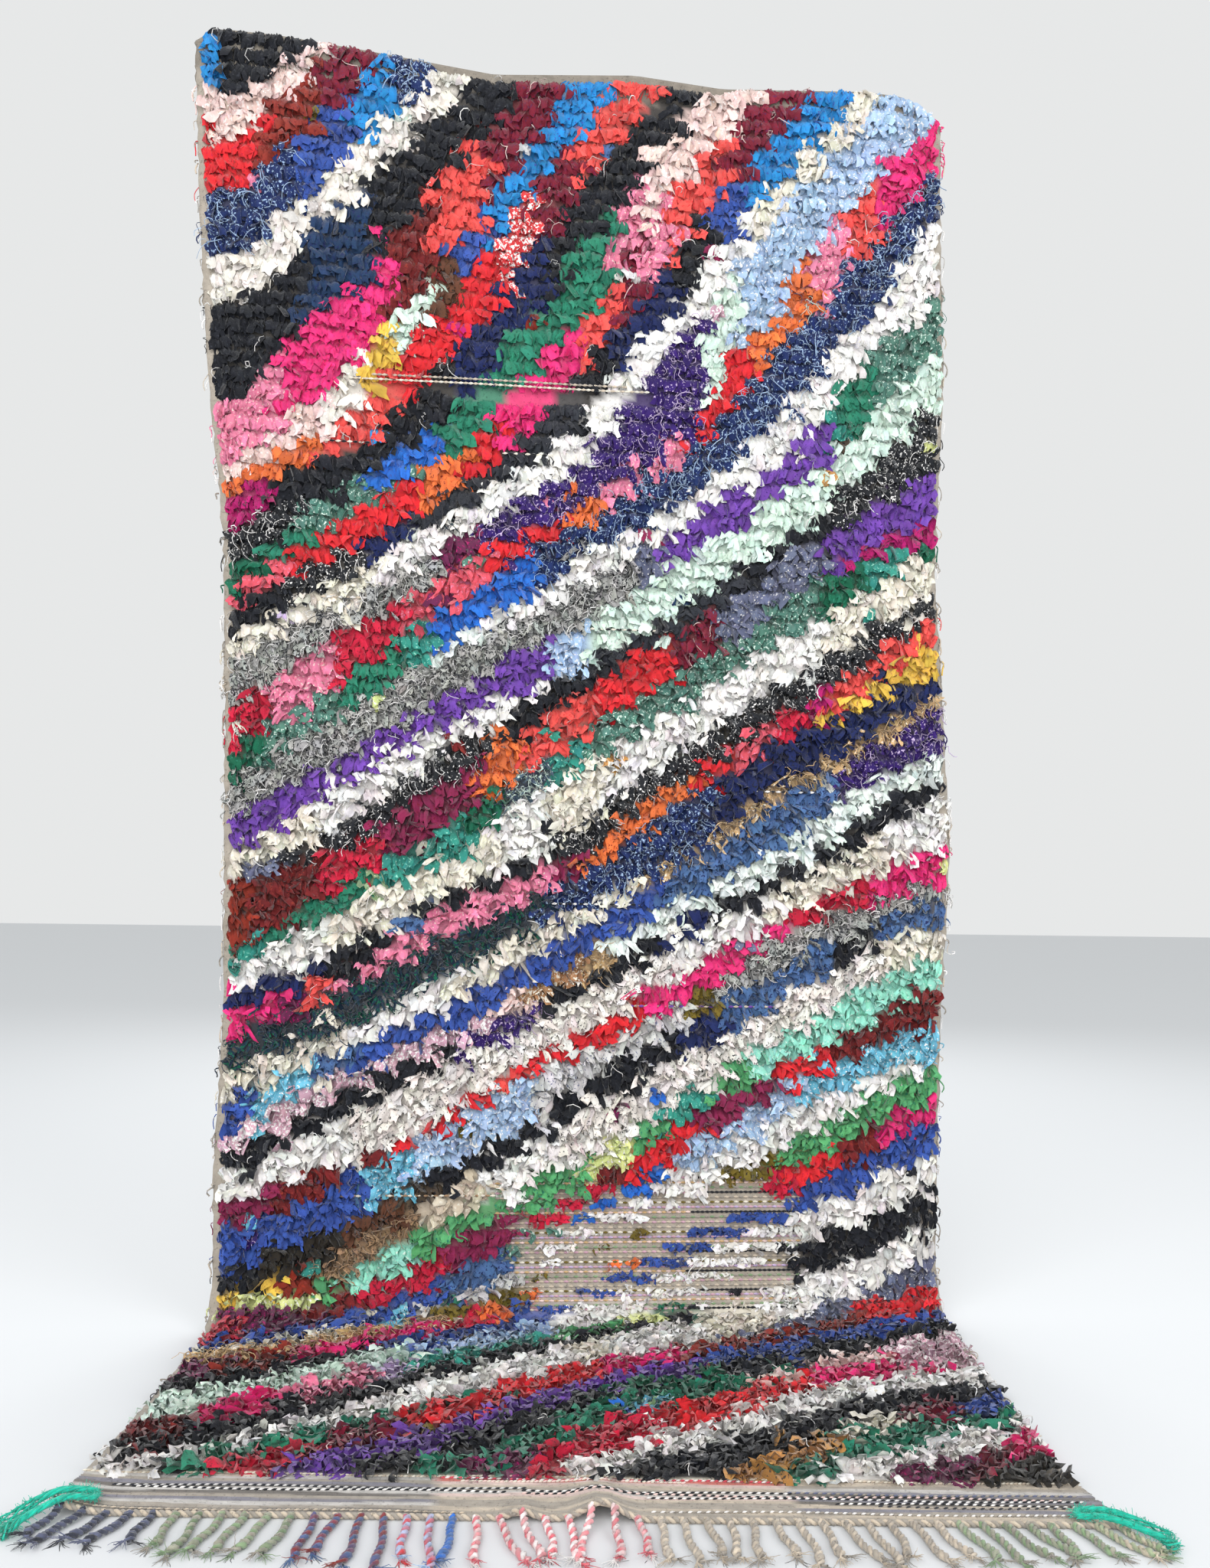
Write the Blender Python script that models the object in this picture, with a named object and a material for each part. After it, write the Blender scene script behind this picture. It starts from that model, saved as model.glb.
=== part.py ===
"""A boucherouite rug of knotted rags, held by its top edge, its lower end lying forward on the floor.

Metres, +Z up. The rows run along X, the pile faces -Y and the floor is z = 0. The woven end at
the top is turned to the back, and the one on the floor carries the fringe and two yarn ties.
The whole is moved at the end so that the origin is the middle of its footprint.
"""

import math

import bpy
import numpy as np

# Thicknesses
PILE = 0.027  # ground weave and knotted rags together
PILE_UNEVEN = 0.0025
WORN_PILE = 0.014  # in the worn patch above and below the bend
WEAVE = 0.005  # the flat-woven ends
CLEARANCE = 0.0005  # between the rug, its fringe and its ties

# Run of the cloth from the turned end to the floor
TOP_WEAVE = 0.016  # flat weave left in sight over the first row of rags
TURNED_END = 0.060
TURNED_GAP = 0.006
BEND_RADIUS = 0.090  # of the back
BAND = 0.115  # flat-woven end on the floor
LEFT_RUN = 0.707  # from the hanging back to the outer edge of the band
RIGHT_RUN = 0.817

# The top edge sags between the two held corners and droops past the right one
TOP_EDGE = (  # x, height
    (-0.738, 2.232),
    (-0.700, 2.255),
    (-0.600, 2.251),
    (-0.450, 2.235),
    (-0.220, 2.207),
    (0.030, 2.222),
    (0.190, 2.208),
    (0.440, 2.220),
    (0.515, 2.217),
    (0.560, 2.195),
    (0.590, 2.165),
)
HANGING_SIDES = (  # height, left x, right x
    (0.090, -0.674, 0.618),
    (0.250, -0.676, 0.616),
    (0.550, -0.664, 0.618),
    (0.850, -0.667, 0.628),
    (1.350, -0.674, 0.593),
    (1.680, -0.708, 0.604),
    (1.990, -0.728, 0.593),
    (2.250, -0.738, 0.590),
)
LYING_SIDES = (  # share of the run on the floor, left x, right x
    (0.00, -0.674, 0.618),
    (0.35, -0.692, 0.594),
    (0.80, -0.724, 0.574),
    (1.00, -0.738, 0.594),
)
HANGING_WAVES = (  # depth, waves over the width, waves over the height, phase
    (0.0060, 1.3, 0.8, 0.4),
    (0.0030, 2.7, 1.9, 2.1),
)
PILE_WAVES = (  # share of PILE_UNEVEN, per metre of width, per metre of length, phase
    (0.50, 21.0, 13.0, 0.0),
    (0.30, 37.0, 45.0, 1.7),
    (0.20, 11.0, 71.0, 0.9),
)
WORN_CENTRE = (0.085, 0.075)  # x, path below the foot of the hanging part
WORN_REACH = (0.370, 0.240)
LIFTS = (  # x, height off the floor, half width, how far it runs in from the edge
    (-0.745, 0.014, 0.050, 0.160),
    (-0.158, 0.009, 0.022, 0.090),
    (-0.058, 0.022, 0.034, 0.150),
)

# Grid of the cloth
COLUMNS = 22
HANGING_ROWS = 31
BEND_ROWS = 7
LYING_ROWS = 10
BAND_ROWS = 4
FOLD_ROWS = 4

# Fringe
TASSELS = 44
CORD_DEPTH = 0.007
CORD_HEIGHT = 0.006
TASSEL_ACROSS = 0.009
TASSEL_PITCH_SHARE = 0.30  # of the pitch, where a tassel leaves the cord
TASSEL_SECTIONS = (  # share of the length, share of the full thickness
    (0.12, 1.00),
    (0.72, 0.95),
    (0.84, 1.35),
    (1.00, 0.60),
)
TASSEL_LEAN = (  # share along the edge, reach, sideways reach
    (0.00, 0.060, -0.032),
    (0.08, 0.070, -0.040),
    (0.16, 0.088, -0.026),
    (0.30, 0.105, -0.010),
    (0.42, 0.100, 0.016),
    (0.52, 0.095, 0.004),
    (0.75, 0.092, 0.002),
    (0.90, 0.082, 0.022),
    (1.00, 0.075, 0.030),
)
LENGTH_CHANGE = 0.10
TASSEL_DOWN_AT = 0.6  # share of its length where a tassel has come down to the floor

# Ties of turquoise yarn at the two lower corners
TIE_ACROSS = 0.009
TIE_SIDES = 8
TIE_STEPS = 18
LEFT_TIE = (  # x and y from the band's left corner, height off the floor
    (-0.040, -0.062, 0.005),
    (-0.018, -0.036, 0.016),
    (0.020, -0.010, 0.026),
    (0.050, 0.008, 0.018),
    (0.044, 0.026, 0.018),
    (0.002, 0.006, 0.026),
    (-0.050, -0.030, 0.005),
)
RIGHT_TIE = (  # x and y from the band's right corner, height off the floor
    (0.030, -0.060, 0.005),
    (0.012, -0.044, 0.014),
    (-0.030, -0.006, 0.018),
    (-0.060, 0.010, 0.014),
    (-0.052, 0.028, 0.013),
    (-0.010, 0.014, 0.014),
    (0.036, -0.032, 0.005),
)

RAG_COLOUR = (0.45, 0.32, 0.34)
TASSEL_COLOUR = (0.52, 0.47, 0.41)
TIE_COLOUR = (0.02, 0.48, 0.36)
ROUGHNESS = 0.9


def between(table, at, column):
    """Value of a table's column at a place along its first column."""
    rows = np.array(table)
    return float(np.interp(at, rows[:, 0], rows[:, column]))


def top_height(x):
    return between(TOP_EDGE, x, 1)


def hanging_x(height, across):
    left = between(HANGING_SIDES, height, 1)
    right = between(HANGING_SIDES, height, 2)
    return left + (right - left) * across


def lying_point(share, across):
    """Floor position, from the foot of the bend (share 0) to the outer edge (share 1)."""
    left = between(LYING_SIDES, share, 1)
    right = between(LYING_SIDES, share, 2)
    run = LEFT_RUN + (RIGHT_RUN - LEFT_RUN) * across - BEND_RADIUS
    return left + (right - left) * across, -BEND_RADIUS - run * share


def lift(x, from_edge):
    """How far the cloth stands off the floor in its small folds, near the outer edge."""
    total = 0.0
    for centre, height, half_width, reach in LIFTS:
        side = abs(x - centre) / half_width
        inward = max(0.0, 1.0 - from_edge / reach)
        total += height * math.exp(-1.4 * side**2) * inward**1.5
    return total


def hanging_wave(across, height):
    """Slow in and out of the hanging cloth, none at the bend."""
    share = min(1.0, max(0.0, (height - BEND_RADIUS) / 0.45))
    total = 0.0
    for depth, over_width, over_height, phase in HANGING_WAVES:
        turn = across * over_width + height / 2.2 * over_height
        total += depth * math.sin(2 * math.pi * turn + phase)
    return total * share


def pile_at(x, path):
    """Thickness of the cloth and its rags, path being measured down from the foot of the hanging part."""
    uneven = 0.0
    for share, over_width, over_length, phase in PILE_WAVES:
        uneven += share * math.sin(over_width * x + over_length * path + phase)
    aside = (x - WORN_CENTRE[0]) / WORN_REACH[0]
    along = (path - WORN_CENTRE[1]) / WORN_REACH[1]
    worn = math.exp(-1.2 * (aside**4 + along**4))
    return PILE + PILE_UNEVEN * uneven - (PILE - WORN_PILE) * worn


def edge_share(across):
    """Rags thin out over the outermost column on each side."""
    from_side = min(across, 1.0 - across) * COLUMNS
    return 0.72 + 0.28 * min(1.0, from_side)


def turned_end_stations(x, top):
    """Back and front points of the flat-woven end behind the rug, up over the fold."""
    middle = TURNED_GAP / 2
    fold_height = top - WEAVE - middle
    for height in (fold_height - TURNED_END, fold_height - TURNED_END / 2):
        yield (x, TURNED_GAP, height), (x, TURNED_GAP + WEAVE, height)
    for step in range(FOLD_ROWS + 1):
        angle = math.pi * step / FOLD_ROWS
        inner, outer = middle, middle + WEAVE
        turn = math.cos(angle), math.sin(angle)
        back = (x, middle + inner * turn[0], fold_height + inner * turn[1])
        front = (x, middle + outer * turn[0], fold_height + outer * turn[1])
        yield back, front


def hanging_stations(across, top):
    """From the first row of rags down to the bend."""
    rags_from = top - TOP_WEAVE
    yield from (
        ((hanging_x(top, across), 0.0, height), (hanging_x(top, across), -thick, height))
        for height, thick in ((rags_from, WEAVE), (rags_from - 0.004, PILE * 0.85))
    )
    first = rags_from - 0.030
    for row in range(HANGING_ROWS + 1):
        height = first + (BEND_RADIUS - first) * row / HANGING_ROWS
        x = hanging_x(height, across)
        fade = min(1.0, row / 6)
        y = hanging_wave(across, height) * fade
        thick = pile_at(x, BEND_RADIUS - height) * edge_share(across)
        yield (x, y, height), (x, y - thick, height)


def bend_stations(across):
    x = hanging_x(BEND_RADIUS, across)
    for row in range(1, BEND_ROWS):
        angle = math.pi / 2 * row / BEND_ROWS
        thick = pile_at(x, BEND_RADIUS * angle) * edge_share(across)
        turn = math.cos(angle), math.sin(angle)
        centre = -BEND_RADIUS, BEND_RADIUS
        inner = BEND_RADIUS - thick
        back = (x, centre[0] + BEND_RADIUS * turn[0], centre[1] - BEND_RADIUS * turn[1])
        front = (x, centre[0] + inner * turn[0], centre[1] - inner * turn[1])
        yield back, front


def lying_stations(across):
    """The rags on the floor, then the flat-woven band out to its edge."""
    run = LEFT_RUN + (RIGHT_RUN - LEFT_RUN) * across - BEND_RADIUS
    band_from = 1.0 - BAND / run
    bend_path = BEND_RADIUS * math.pi / 2
    shares = [(band_from - 0.012) * row / LYING_ROWS for row in range(LYING_ROWS + 1)]
    for share in shares:
        x, y = lying_point(share, across)
        thick = pile_at(x, bend_path + run * share) * edge_share(across)
        up = lift(x, run * (1.0 - share))
        yield (x, y, up), (x, y, up + thick)
    for row in range(BAND_ROWS + 1):
        share = band_from + (1.0 - band_from) * row / BAND_ROWS
        x, y = lying_point(share, across)
        up = lift(x, run * (1.0 - share))
        yield (x, y, up), (x, y, up + WEAVE)


def column_of_cloth(across):
    """All back and front points down the cloth at one place across it."""
    top_x = hanging_x(2.25, across)
    top = top_height(top_x)
    stations = list(turned_end_stations(top_x, top))
    stations += hanging_stations(across, top)
    stations += bend_stations(across)
    stations += lying_stations(across)
    return stations


def closed_sheet(columns):
    """Vertices and faces of a sheet from the back and front points of its columns."""
    wide, long = len(columns), len(columns[0])
    points = [pair[side] for side in (0, 1) for column in columns for pair in column]

    def spot(side, column, row):
        return side * wide * long + column * long + row

    faces = []
    for i in range(wide - 1):
        for j in range(long - 1):
            corners = ((i, j), (i, j + 1), (i + 1, j + 1), (i + 1, j))
            faces.append(tuple(spot(1, *corner) for corner in corners))
            faces.append(tuple(spot(0, *corner) for corner in reversed(corners)))
    for j in range(long - 1):
        first, last = wide - 1, 0
        faces.append((spot(0, last, j), spot(0, last, j + 1), spot(1, last, j + 1), spot(1, last, j)))
        faces.append((spot(1, first, j), spot(1, first, j + 1), spot(0, first, j + 1), spot(0, first, j)))
    for i in range(wide - 1):
        end = long - 1
        faces.append((spot(1, i, 0), spot(1, i + 1, 0), spot(0, i + 1, 0), spot(0, i, 0)))
        faces.append((spot(0, i, end), spot(0, i + 1, end), spot(1, i + 1, end), spot(1, i, end)))
    return points, faces


def fringe_edge(along):
    """Point under the outer edge of the band where the fringe's cord lies."""
    x, y = lying_point(1.0, along)
    return x, y - CLEARANCE, lift(x, 0.0)


def tassel_rings(along, number):
    """Six-sided sections of one tassel from near the cord to its frayed tip."""
    root_x, root_y, root_z = fringe_edge(along)
    root_y -= CORD_DEPTH
    change = 1.0 + LENGTH_CHANGE * math.sin(2.4 * number)
    reach = between(TASSEL_LEAN, along, 1) * change
    aside = between(TASSEL_LEAN, along, 2) * change
    for share, fullness in TASSEL_SECTIONS:
        half = TASSEL_ACROSS / 2 * fullness
        wander = 0.0015 * math.sin(5.0 * share + number)
        x = root_x + aside * share**1.3 + wander
        y = root_y - reach * share
        still_up = max(0.0, 1.0 - share / TASSEL_DOWN_AT) ** 1.5
        z = max(half, half + (root_z + CORD_HEIGHT / 2 - half) * still_up)
        yield hexagon(x, y, z, half, half)


def hexagon(x, y, z, half_width, half_height):
    """A section in the XZ plane, from its lower left round by the bottom."""
    inset = half_width * 0.75
    return [
        (x - inset, y, z - half_height * 0.8),
        (x, y, z - half_height),
        (x + inset, y, z - half_height * 0.8),
        (x + inset, y, z + half_height * 0.8),
        (x, y, z + half_height),
        (x - inset, y, z + half_height * 0.8),
    ]


def fringe():
    """One comb: a cord along the band's edge with every tassel growing out of its front."""
    stations = []
    for number in range(TASSELS):
        middle = (number + 0.5) / TASSELS
        half = TASSEL_PITCH_SHARE / 2 / TASSELS
        stations += [middle - half, middle, middle + half]
    stations = [0.0, *stations, 1.0]
    points = []
    for along in stations:
        x, y, z = fringe_edge(along)
        front = y - CORD_DEPTH
        top = z + CORD_HEIGHT
        points += [(x, front, z), (x, front, top), (x, y, top), (x, y, z)]
    faces = [(0, 1, 2, 3)]
    last = 4 * (len(stations) - 1)
    faces.append((last + 3, last + 2, last + 1, last))
    for i in range(len(stations) - 1):
        a, b = 4 * i, 4 * (i + 1)
        under_tassel = i % 3 in (1, 2) and i < 3 * TASSELS
        if not under_tassel:
            faces.append((a, b, b + 1, a + 1))
        faces.append((a + 1, b + 1, b + 2, a + 2))
        faces.append((a + 2, b + 2, b + 3, a + 3))
        faces.append((a + 3, b + 3, b, a))
    for number in range(TASSELS):
        left, middle, right = (4 * (3 * number + k) for k in (1, 2, 3))
        ring = [left, middle, right, right + 1, middle + 1, left + 1]
        for section in tassel_rings((number + 0.5) / TASSELS, number):
            start = len(points)
            points += section
            following = list(range(start, start + 6))
            for k in range(6):
                after = (k + 1) % 6
                faces.append((ring[k], ring[after], following[after], following[k]))
            ring = following
        faces.append(tuple(ring))
    return points, faces


def smooth_route(route, count):
    """Catmull-Rom curve through a route's points."""
    places = np.array(route)
    padded = np.vstack([2 * places[0] - places[1], places, 2 * places[-1] - places[-2]])
    spans = len(places) - 1
    curve = []
    for at in np.linspace(0.0, spans, count):
        i = min(int(at), spans - 1)
        t = at - i
        p0, p1, p2, p3 = padded[i : i + 4]
        bend = 2 * p0 - 5 * p1 + 4 * p2 - p3
        twist = -p0 + 3 * p1 - 3 * p2 + p3
        curve.append(0.5 * (2 * p1 + (p2 - p0) * t + bend * t**2 + twist * t**3))
    return np.array(curve)


def yarn_tie(corner, route):
    """A strand looped once over the corner of the band, both tails lying outwards."""
    centres = smooth_route(route, TIE_STEPS) + np.array(corner)
    heading = np.gradient(centres, axis=0)
    points, faces = [], []
    for i, (centre, way) in enumerate(zip(centres, heading)):
        from_end = min(i, TIE_STEPS - 1 - i) / (TIE_STEPS / 2)
        half = TIE_ACROSS / 2 * (0.7 + 0.3 * math.sin(math.pi / 2 * min(1.0, 3 * from_end)))
        way = way / np.linalg.norm(way)
        side = np.cross(way, (0.0, 0.0, 1.0))
        side /= np.linalg.norm(side)
        down = np.cross(way, side)
        for k in range(TIE_SIDES):
            angle = 2 * math.pi * k / TIE_SIDES
            points.append(centre + half * (math.cos(angle) * side + math.sin(angle) * down))
    for i in range(TIE_STEPS - 1):
        for k in range(TIE_SIDES):
            after = (k + 1) % TIE_SIDES
            a, b = i * TIE_SIDES, (i + 1) * TIE_SIDES
            faces.append((a + k, a + after, b + after, b + k))
    faces.append(tuple(reversed(range(TIE_SIDES))))
    last = (TIE_STEPS - 1) * TIE_SIDES
    faces.append(tuple(range(last, last + TIE_SIDES)))
    return [tuple(point) for point in points], faces


def cloth_material(name, colour):
    material = bpy.data.materials.new(name)
    material.use_nodes = True
    shader = material.node_tree.nodes["Principled BSDF"]
    shader.inputs["Base Color"].default_value = (*colour, 1.0)
    shader.inputs["Roughness"].default_value = ROUGHNESS
    shader.inputs["Metallic"].default_value = 0.0
    return material


def add_part(name, shape, material, middle):
    """Makes one object from points and faces, with the origin at the middle of the footprint."""
    points, faces = shape
    mesh = bpy.data.meshes.new(name)
    moved = [(x - middle[0], y - middle[1], z) for x, y, z in points]
    mesh.from_pydata(moved, [], faces)
    mesh.materials.append(material)
    mesh.validate()
    mesh.shade_smooth()
    mesh.set_sharp_from_angle(angle=math.radians(50))
    part = bpy.data.objects.new(name, mesh)
    bpy.context.scene.collection.objects.link(part)
    return part


def corner_of_band(across):
    """The floor under one of the band's outer corners."""
    return *lying_point(1.0, across), 0.0


def build():
    for existing in list(bpy.data.objects):
        bpy.data.objects.remove(existing)
    rags = cloth_material("rags", RAG_COLOUR)
    yarn = cloth_material("warp_yarn", TASSEL_COLOUR)
    turquoise = cloth_material("turquoise_yarn", TIE_COLOUR)
    columns = [column_of_cloth(i / COLUMNS) for i in range(COLUMNS + 1)]
    shapes = {
        "rug": (closed_sheet(columns), rags),
        "fringe": (fringe(), yarn),
        "tie_left": (yarn_tie(corner_of_band(0.0), LEFT_TIE), turquoise),
        "tie_right": (yarn_tie(corner_of_band(1.0), RIGHT_TIE), turquoise),
    }
    everything = np.array([point for shape, _ in shapes.values() for point in shape[0]])
    middle = (everything.min(axis=0) + everything.max(axis=0)) / 2
    for name, (shape, material) in shapes.items():
        add_part(name, shape, material, middle)


build()
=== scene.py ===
"""Looks of the boucherouite rug: its ground weave, the rows of knotted rags, the woven band,
the twisted fringe and the turquoise ties.

The cloth's shape comes from the same functions and sizes as the construction. Local metres: the
rows run along X, the pile faces -Y, the floor is z = 0 and the hanging part's back is y = 0.
"""

import math

import bpy
import numpy as np
from mathutils import Matrix, Vector


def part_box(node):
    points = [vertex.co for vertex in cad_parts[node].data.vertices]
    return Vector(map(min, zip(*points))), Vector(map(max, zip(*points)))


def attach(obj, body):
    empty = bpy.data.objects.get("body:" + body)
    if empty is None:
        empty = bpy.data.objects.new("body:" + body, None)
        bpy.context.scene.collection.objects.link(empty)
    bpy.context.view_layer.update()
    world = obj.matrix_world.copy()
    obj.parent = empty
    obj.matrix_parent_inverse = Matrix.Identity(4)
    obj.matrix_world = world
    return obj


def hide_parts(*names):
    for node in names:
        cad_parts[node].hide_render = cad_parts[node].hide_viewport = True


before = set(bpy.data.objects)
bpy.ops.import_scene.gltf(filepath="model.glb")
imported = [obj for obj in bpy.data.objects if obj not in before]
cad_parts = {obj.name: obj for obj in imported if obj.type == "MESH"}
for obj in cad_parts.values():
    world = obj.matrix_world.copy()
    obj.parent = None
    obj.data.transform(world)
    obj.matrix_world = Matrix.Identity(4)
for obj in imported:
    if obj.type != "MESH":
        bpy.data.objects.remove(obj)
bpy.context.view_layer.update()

rng = np.random.default_rng(11)

# ---------------------------------------------------------------- the cloth's shape
PILE = 0.027  # from the cloth's back to the rags' tips
PILE_UNEVEN = 0.0025
WORN_PILE = 0.014  # the same in the worn patch
WEAVE = 0.005  # the ground weave alone
TOP_WEAVE = 0.016  # how far below the top edge the hanging rows start
TOP_LEVEL = 2.25  # the height at which places along the top edge are read
TURNED_END = 0.060  # turned back behind the top edge
TURNED_GAP = 0.006
TURNED_PATH = -2.400  # paths noted for the turned end and the fold, which are above every row
FOLD_PATH = -2.300
BARE_PATH = -2.085  # above this path the weave has no rags, and its colour is darkened there as painted shade
BEND_RADIUS = 0.090  # of the turn onto the floor
BEND_PATH = BEND_RADIUS * math.pi / 2
BAND = 0.115  # depth of the flat-woven end
BAND_WIDTH = 1.33
LEFT_RUN = 0.707  # how far the left and the right side come forward, bend included
RIGHT_RUN = 0.817
TOP_EDGE = (  # x, height
    (-0.738, 2.232),
    (-0.700, 2.255),
    (-0.600, 2.251),
    (-0.450, 2.235),
    (-0.220, 2.207),
    (0.030, 2.222),
    (0.190, 2.208),
    (0.440, 2.220),
    (0.515, 2.217),
    (0.560, 2.195),
    (0.590, 2.165),
)
HANGING_SIDES = (  # height, left x, right x
    (0.090, -0.674, 0.618),
    (0.250, -0.676, 0.616),
    (0.550, -0.664, 0.618),
    (0.850, -0.667, 0.628),
    (1.350, -0.674, 0.593),
    (1.680, -0.708, 0.604),
    (1.990, -0.728, 0.593),
    (2.250, -0.738, 0.590),
)
LYING_SIDES = (  # share of the run on the floor, left x, right x
    (0.00, -0.674, 0.618),
    (0.35, -0.692, 0.594),
    (0.80, -0.724, 0.574),
    (1.00, -0.738, 0.594),
)
HANGING_WAVES = (  # depth, waves over the width, waves over the height, phase
    (0.0060, 1.3, 0.8, 0.4),
    (0.0030, 2.7, 1.9, 2.1),
)
PILE_WAVES = (  # share of PILE_UNEVEN, per metre of width, per metre of length, phase
    (0.50, 21.0, 13.0, 0.0),
    (0.30, 37.0, 45.0, 1.7),
    (0.20, 11.0, 71.0, 0.9),
)
WORN_CENTRE = (0.085, 0.075)  # x and path of the worn patch's middle
WORN_REACH = (0.370, 0.240)  # and how far it goes from there
LIFTS = (  # x, height off the floor, half width, how far it runs in from the edge
    (-0.745, 0.014, 0.050, 0.160),
    (-0.158, 0.009, 0.022, 0.090),
    (-0.058, 0.022, 0.034, 0.150),
)

# ---------------------------------------------------------------- colours, as seen on the rags
# name: red, green, blue, second colour, its share, what the rag is
PALETTE = {
    "black": (0.070, 0.080, 0.110, "charcoal", 0.10, "rag"),
    "charcoal": (0.160, 0.170, 0.200, "black", 0.10, "rag"),
    "black_fleck": (0.100, 0.110, 0.130, "white", 0.08, "rag"),
    "olive_black": (0.150, 0.130, 0.100, "black", 0.15, "rag"),
    "olive_brown": (0.280, 0.230, 0.180, "black", 0.15, "rag"),
    "grey_marl": (0.640, 0.640, 0.625, "black", 0.20, "rag"),
    "white": (0.905, 0.895, 0.885, "cream", 0.06, "rag"),
    "ivory": (0.890, 0.865, 0.830, "white", 0.10, "rag"),
    "cream": (0.870, 0.845, 0.785, "white", 0.12, "rag"),
    "specked": (0.890, 0.865, 0.840, "charcoal", 0.07, "rag"),
    "grey_white": (0.790, 0.785, 0.780, "slate", 0.08, "rag"),
    "beige": (0.770, 0.715, 0.640, "cream", 0.12, "rag"),
    "taupe": (0.610, 0.580, 0.540, "beige", 0.20, "yarn"),
    "tan": (0.620, 0.500, 0.380, "olive_brown", 0.14, "yarn"),
    "camel": (0.780, 0.650, 0.470, "cream", 0.14, "yarn"),
    "gold": (0.720, 0.520, 0.280, "olive_brown", 0.12, "satin"),
    "mustard": (0.850, 0.700, 0.280, "gold", 0.08, "rag"),
    "olive": (0.420, 0.360, 0.120, "olive_black", 0.10, "rag"),
    "yellow_green": (0.800, 0.830, 0.550, "white", 0.10, "rag"),
    "blush": (0.890, 0.780, 0.755, "white", 0.12, "rag"),
    "pink": (0.860, 0.480, 0.600, "blush", 0.08, "rag"),
    "hot_pink": (0.860, 0.130, 0.440, "magenta", 0.06, "satin"),
    "magenta": (0.680, 0.080, 0.400, "plum", 0.08, "rag"),
    "rose": (0.820, 0.320, 0.380, "pink", 0.08, "rag"),
    "coral": (0.870, 0.310, 0.290, "red", 0.08, "rag"),
    "red": (0.820, 0.140, 0.170, "crimson", 0.08, "rag"),
    "red_print": (0.800, 0.200, 0.220, "white", 0.26, "rag"),
    "crimson": (0.740, 0.100, 0.220, "burgundy", 0.08, "rag"),
    "burgundy": (0.450, 0.080, 0.170, "plum", 0.10, "rag"),
    "maroon": (0.420, 0.100, 0.110, "brick", 0.12, "rag"),
    "brick": (0.520, 0.170, 0.130, "maroon", 0.12, "rag"),
    "rust": (0.500, 0.150, 0.090, "brick", 0.12, "rag"),
    "wine": (0.500, 0.120, 0.280, "burgundy", 0.10, "rag"),
    "plum": (0.380, 0.120, 0.270, "magenta", 0.08, "rag"),
    "orange": (0.860, 0.430, 0.220, "rust", 0.05, "rag"),
    "copper": (0.620, 0.450, 0.300, "cream", 0.22, "satin"),
    "brown": (0.360, 0.220, 0.150, "olive_black", 0.12, "rag"),
    "mauve": (0.780, 0.620, 0.680, "white", 0.26, "rag"),
    "lilac": (0.740, 0.660, 0.800, "white", 0.16, "rag"),
    "purple": (0.420, 0.250, 0.620, "indigo", 0.04, "rag"),
    "indigo": (0.180, 0.080, 0.380, "lilac", 0.10, "rag"),
    "navy": (0.080, 0.130, 0.320, "black", 0.08, "rag"),
    "navy_fleck": (0.080, 0.150, 0.340, "light_blue", 0.12, "rag"),
    "navy_teal": (0.100, 0.200, 0.330, "navy", 0.10, "rag"),
    "navy_green": (0.070, 0.160, 0.240, "dark_green", 0.24, "yarn"),
    "royal": (0.200, 0.310, 0.610, "navy", 0.06, "rag"),
    "blue": (0.140, 0.400, 0.750, "royal", 0.08, "rag"),
    "bright_blue": (0.120, 0.500, 0.750, "royal", 0.06, "rag"),
    "denim": (0.280, 0.400, 0.580, "navy", 0.12, "rag"),
    "light_blue": (0.620, 0.720, 0.840, "white", 0.12, "rag"),
    "aqua": (0.400, 0.700, 0.800, "white", 0.10, "satin"),
    "slate": (0.380, 0.400, 0.500, "grey_white", 0.08, "rag"),
    "slate_yarn": (0.250, 0.320, 0.380, "mint", 0.20, "yarn"),
    "teal": (0.180, 0.520, 0.470, "sea_mint", 0.05, "rag"),
    "green": (0.150, 0.480, 0.380, "dark_green", 0.08, "rag"),
    "dark_green": (0.050, 0.360, 0.260, "green", 0.08, "rag"),
    "grey_green": (0.300, 0.470, 0.420, "mint", 0.10, "rag"),
    "leaf": (0.330, 0.620, 0.400, "green", 0.08, "rag"),
    "sage": (0.500, 0.600, 0.450, "cream", 0.08, "rag"),
    "mint": (0.800, 0.880, 0.830, "white", 0.08, "rag"),
    "sea_mint": (0.550, 0.820, 0.740, "mint", 0.08, "rag"),
    "pale_mint": (0.850, 0.890, 0.870, "white", 0.12, "rag"),
}

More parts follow.
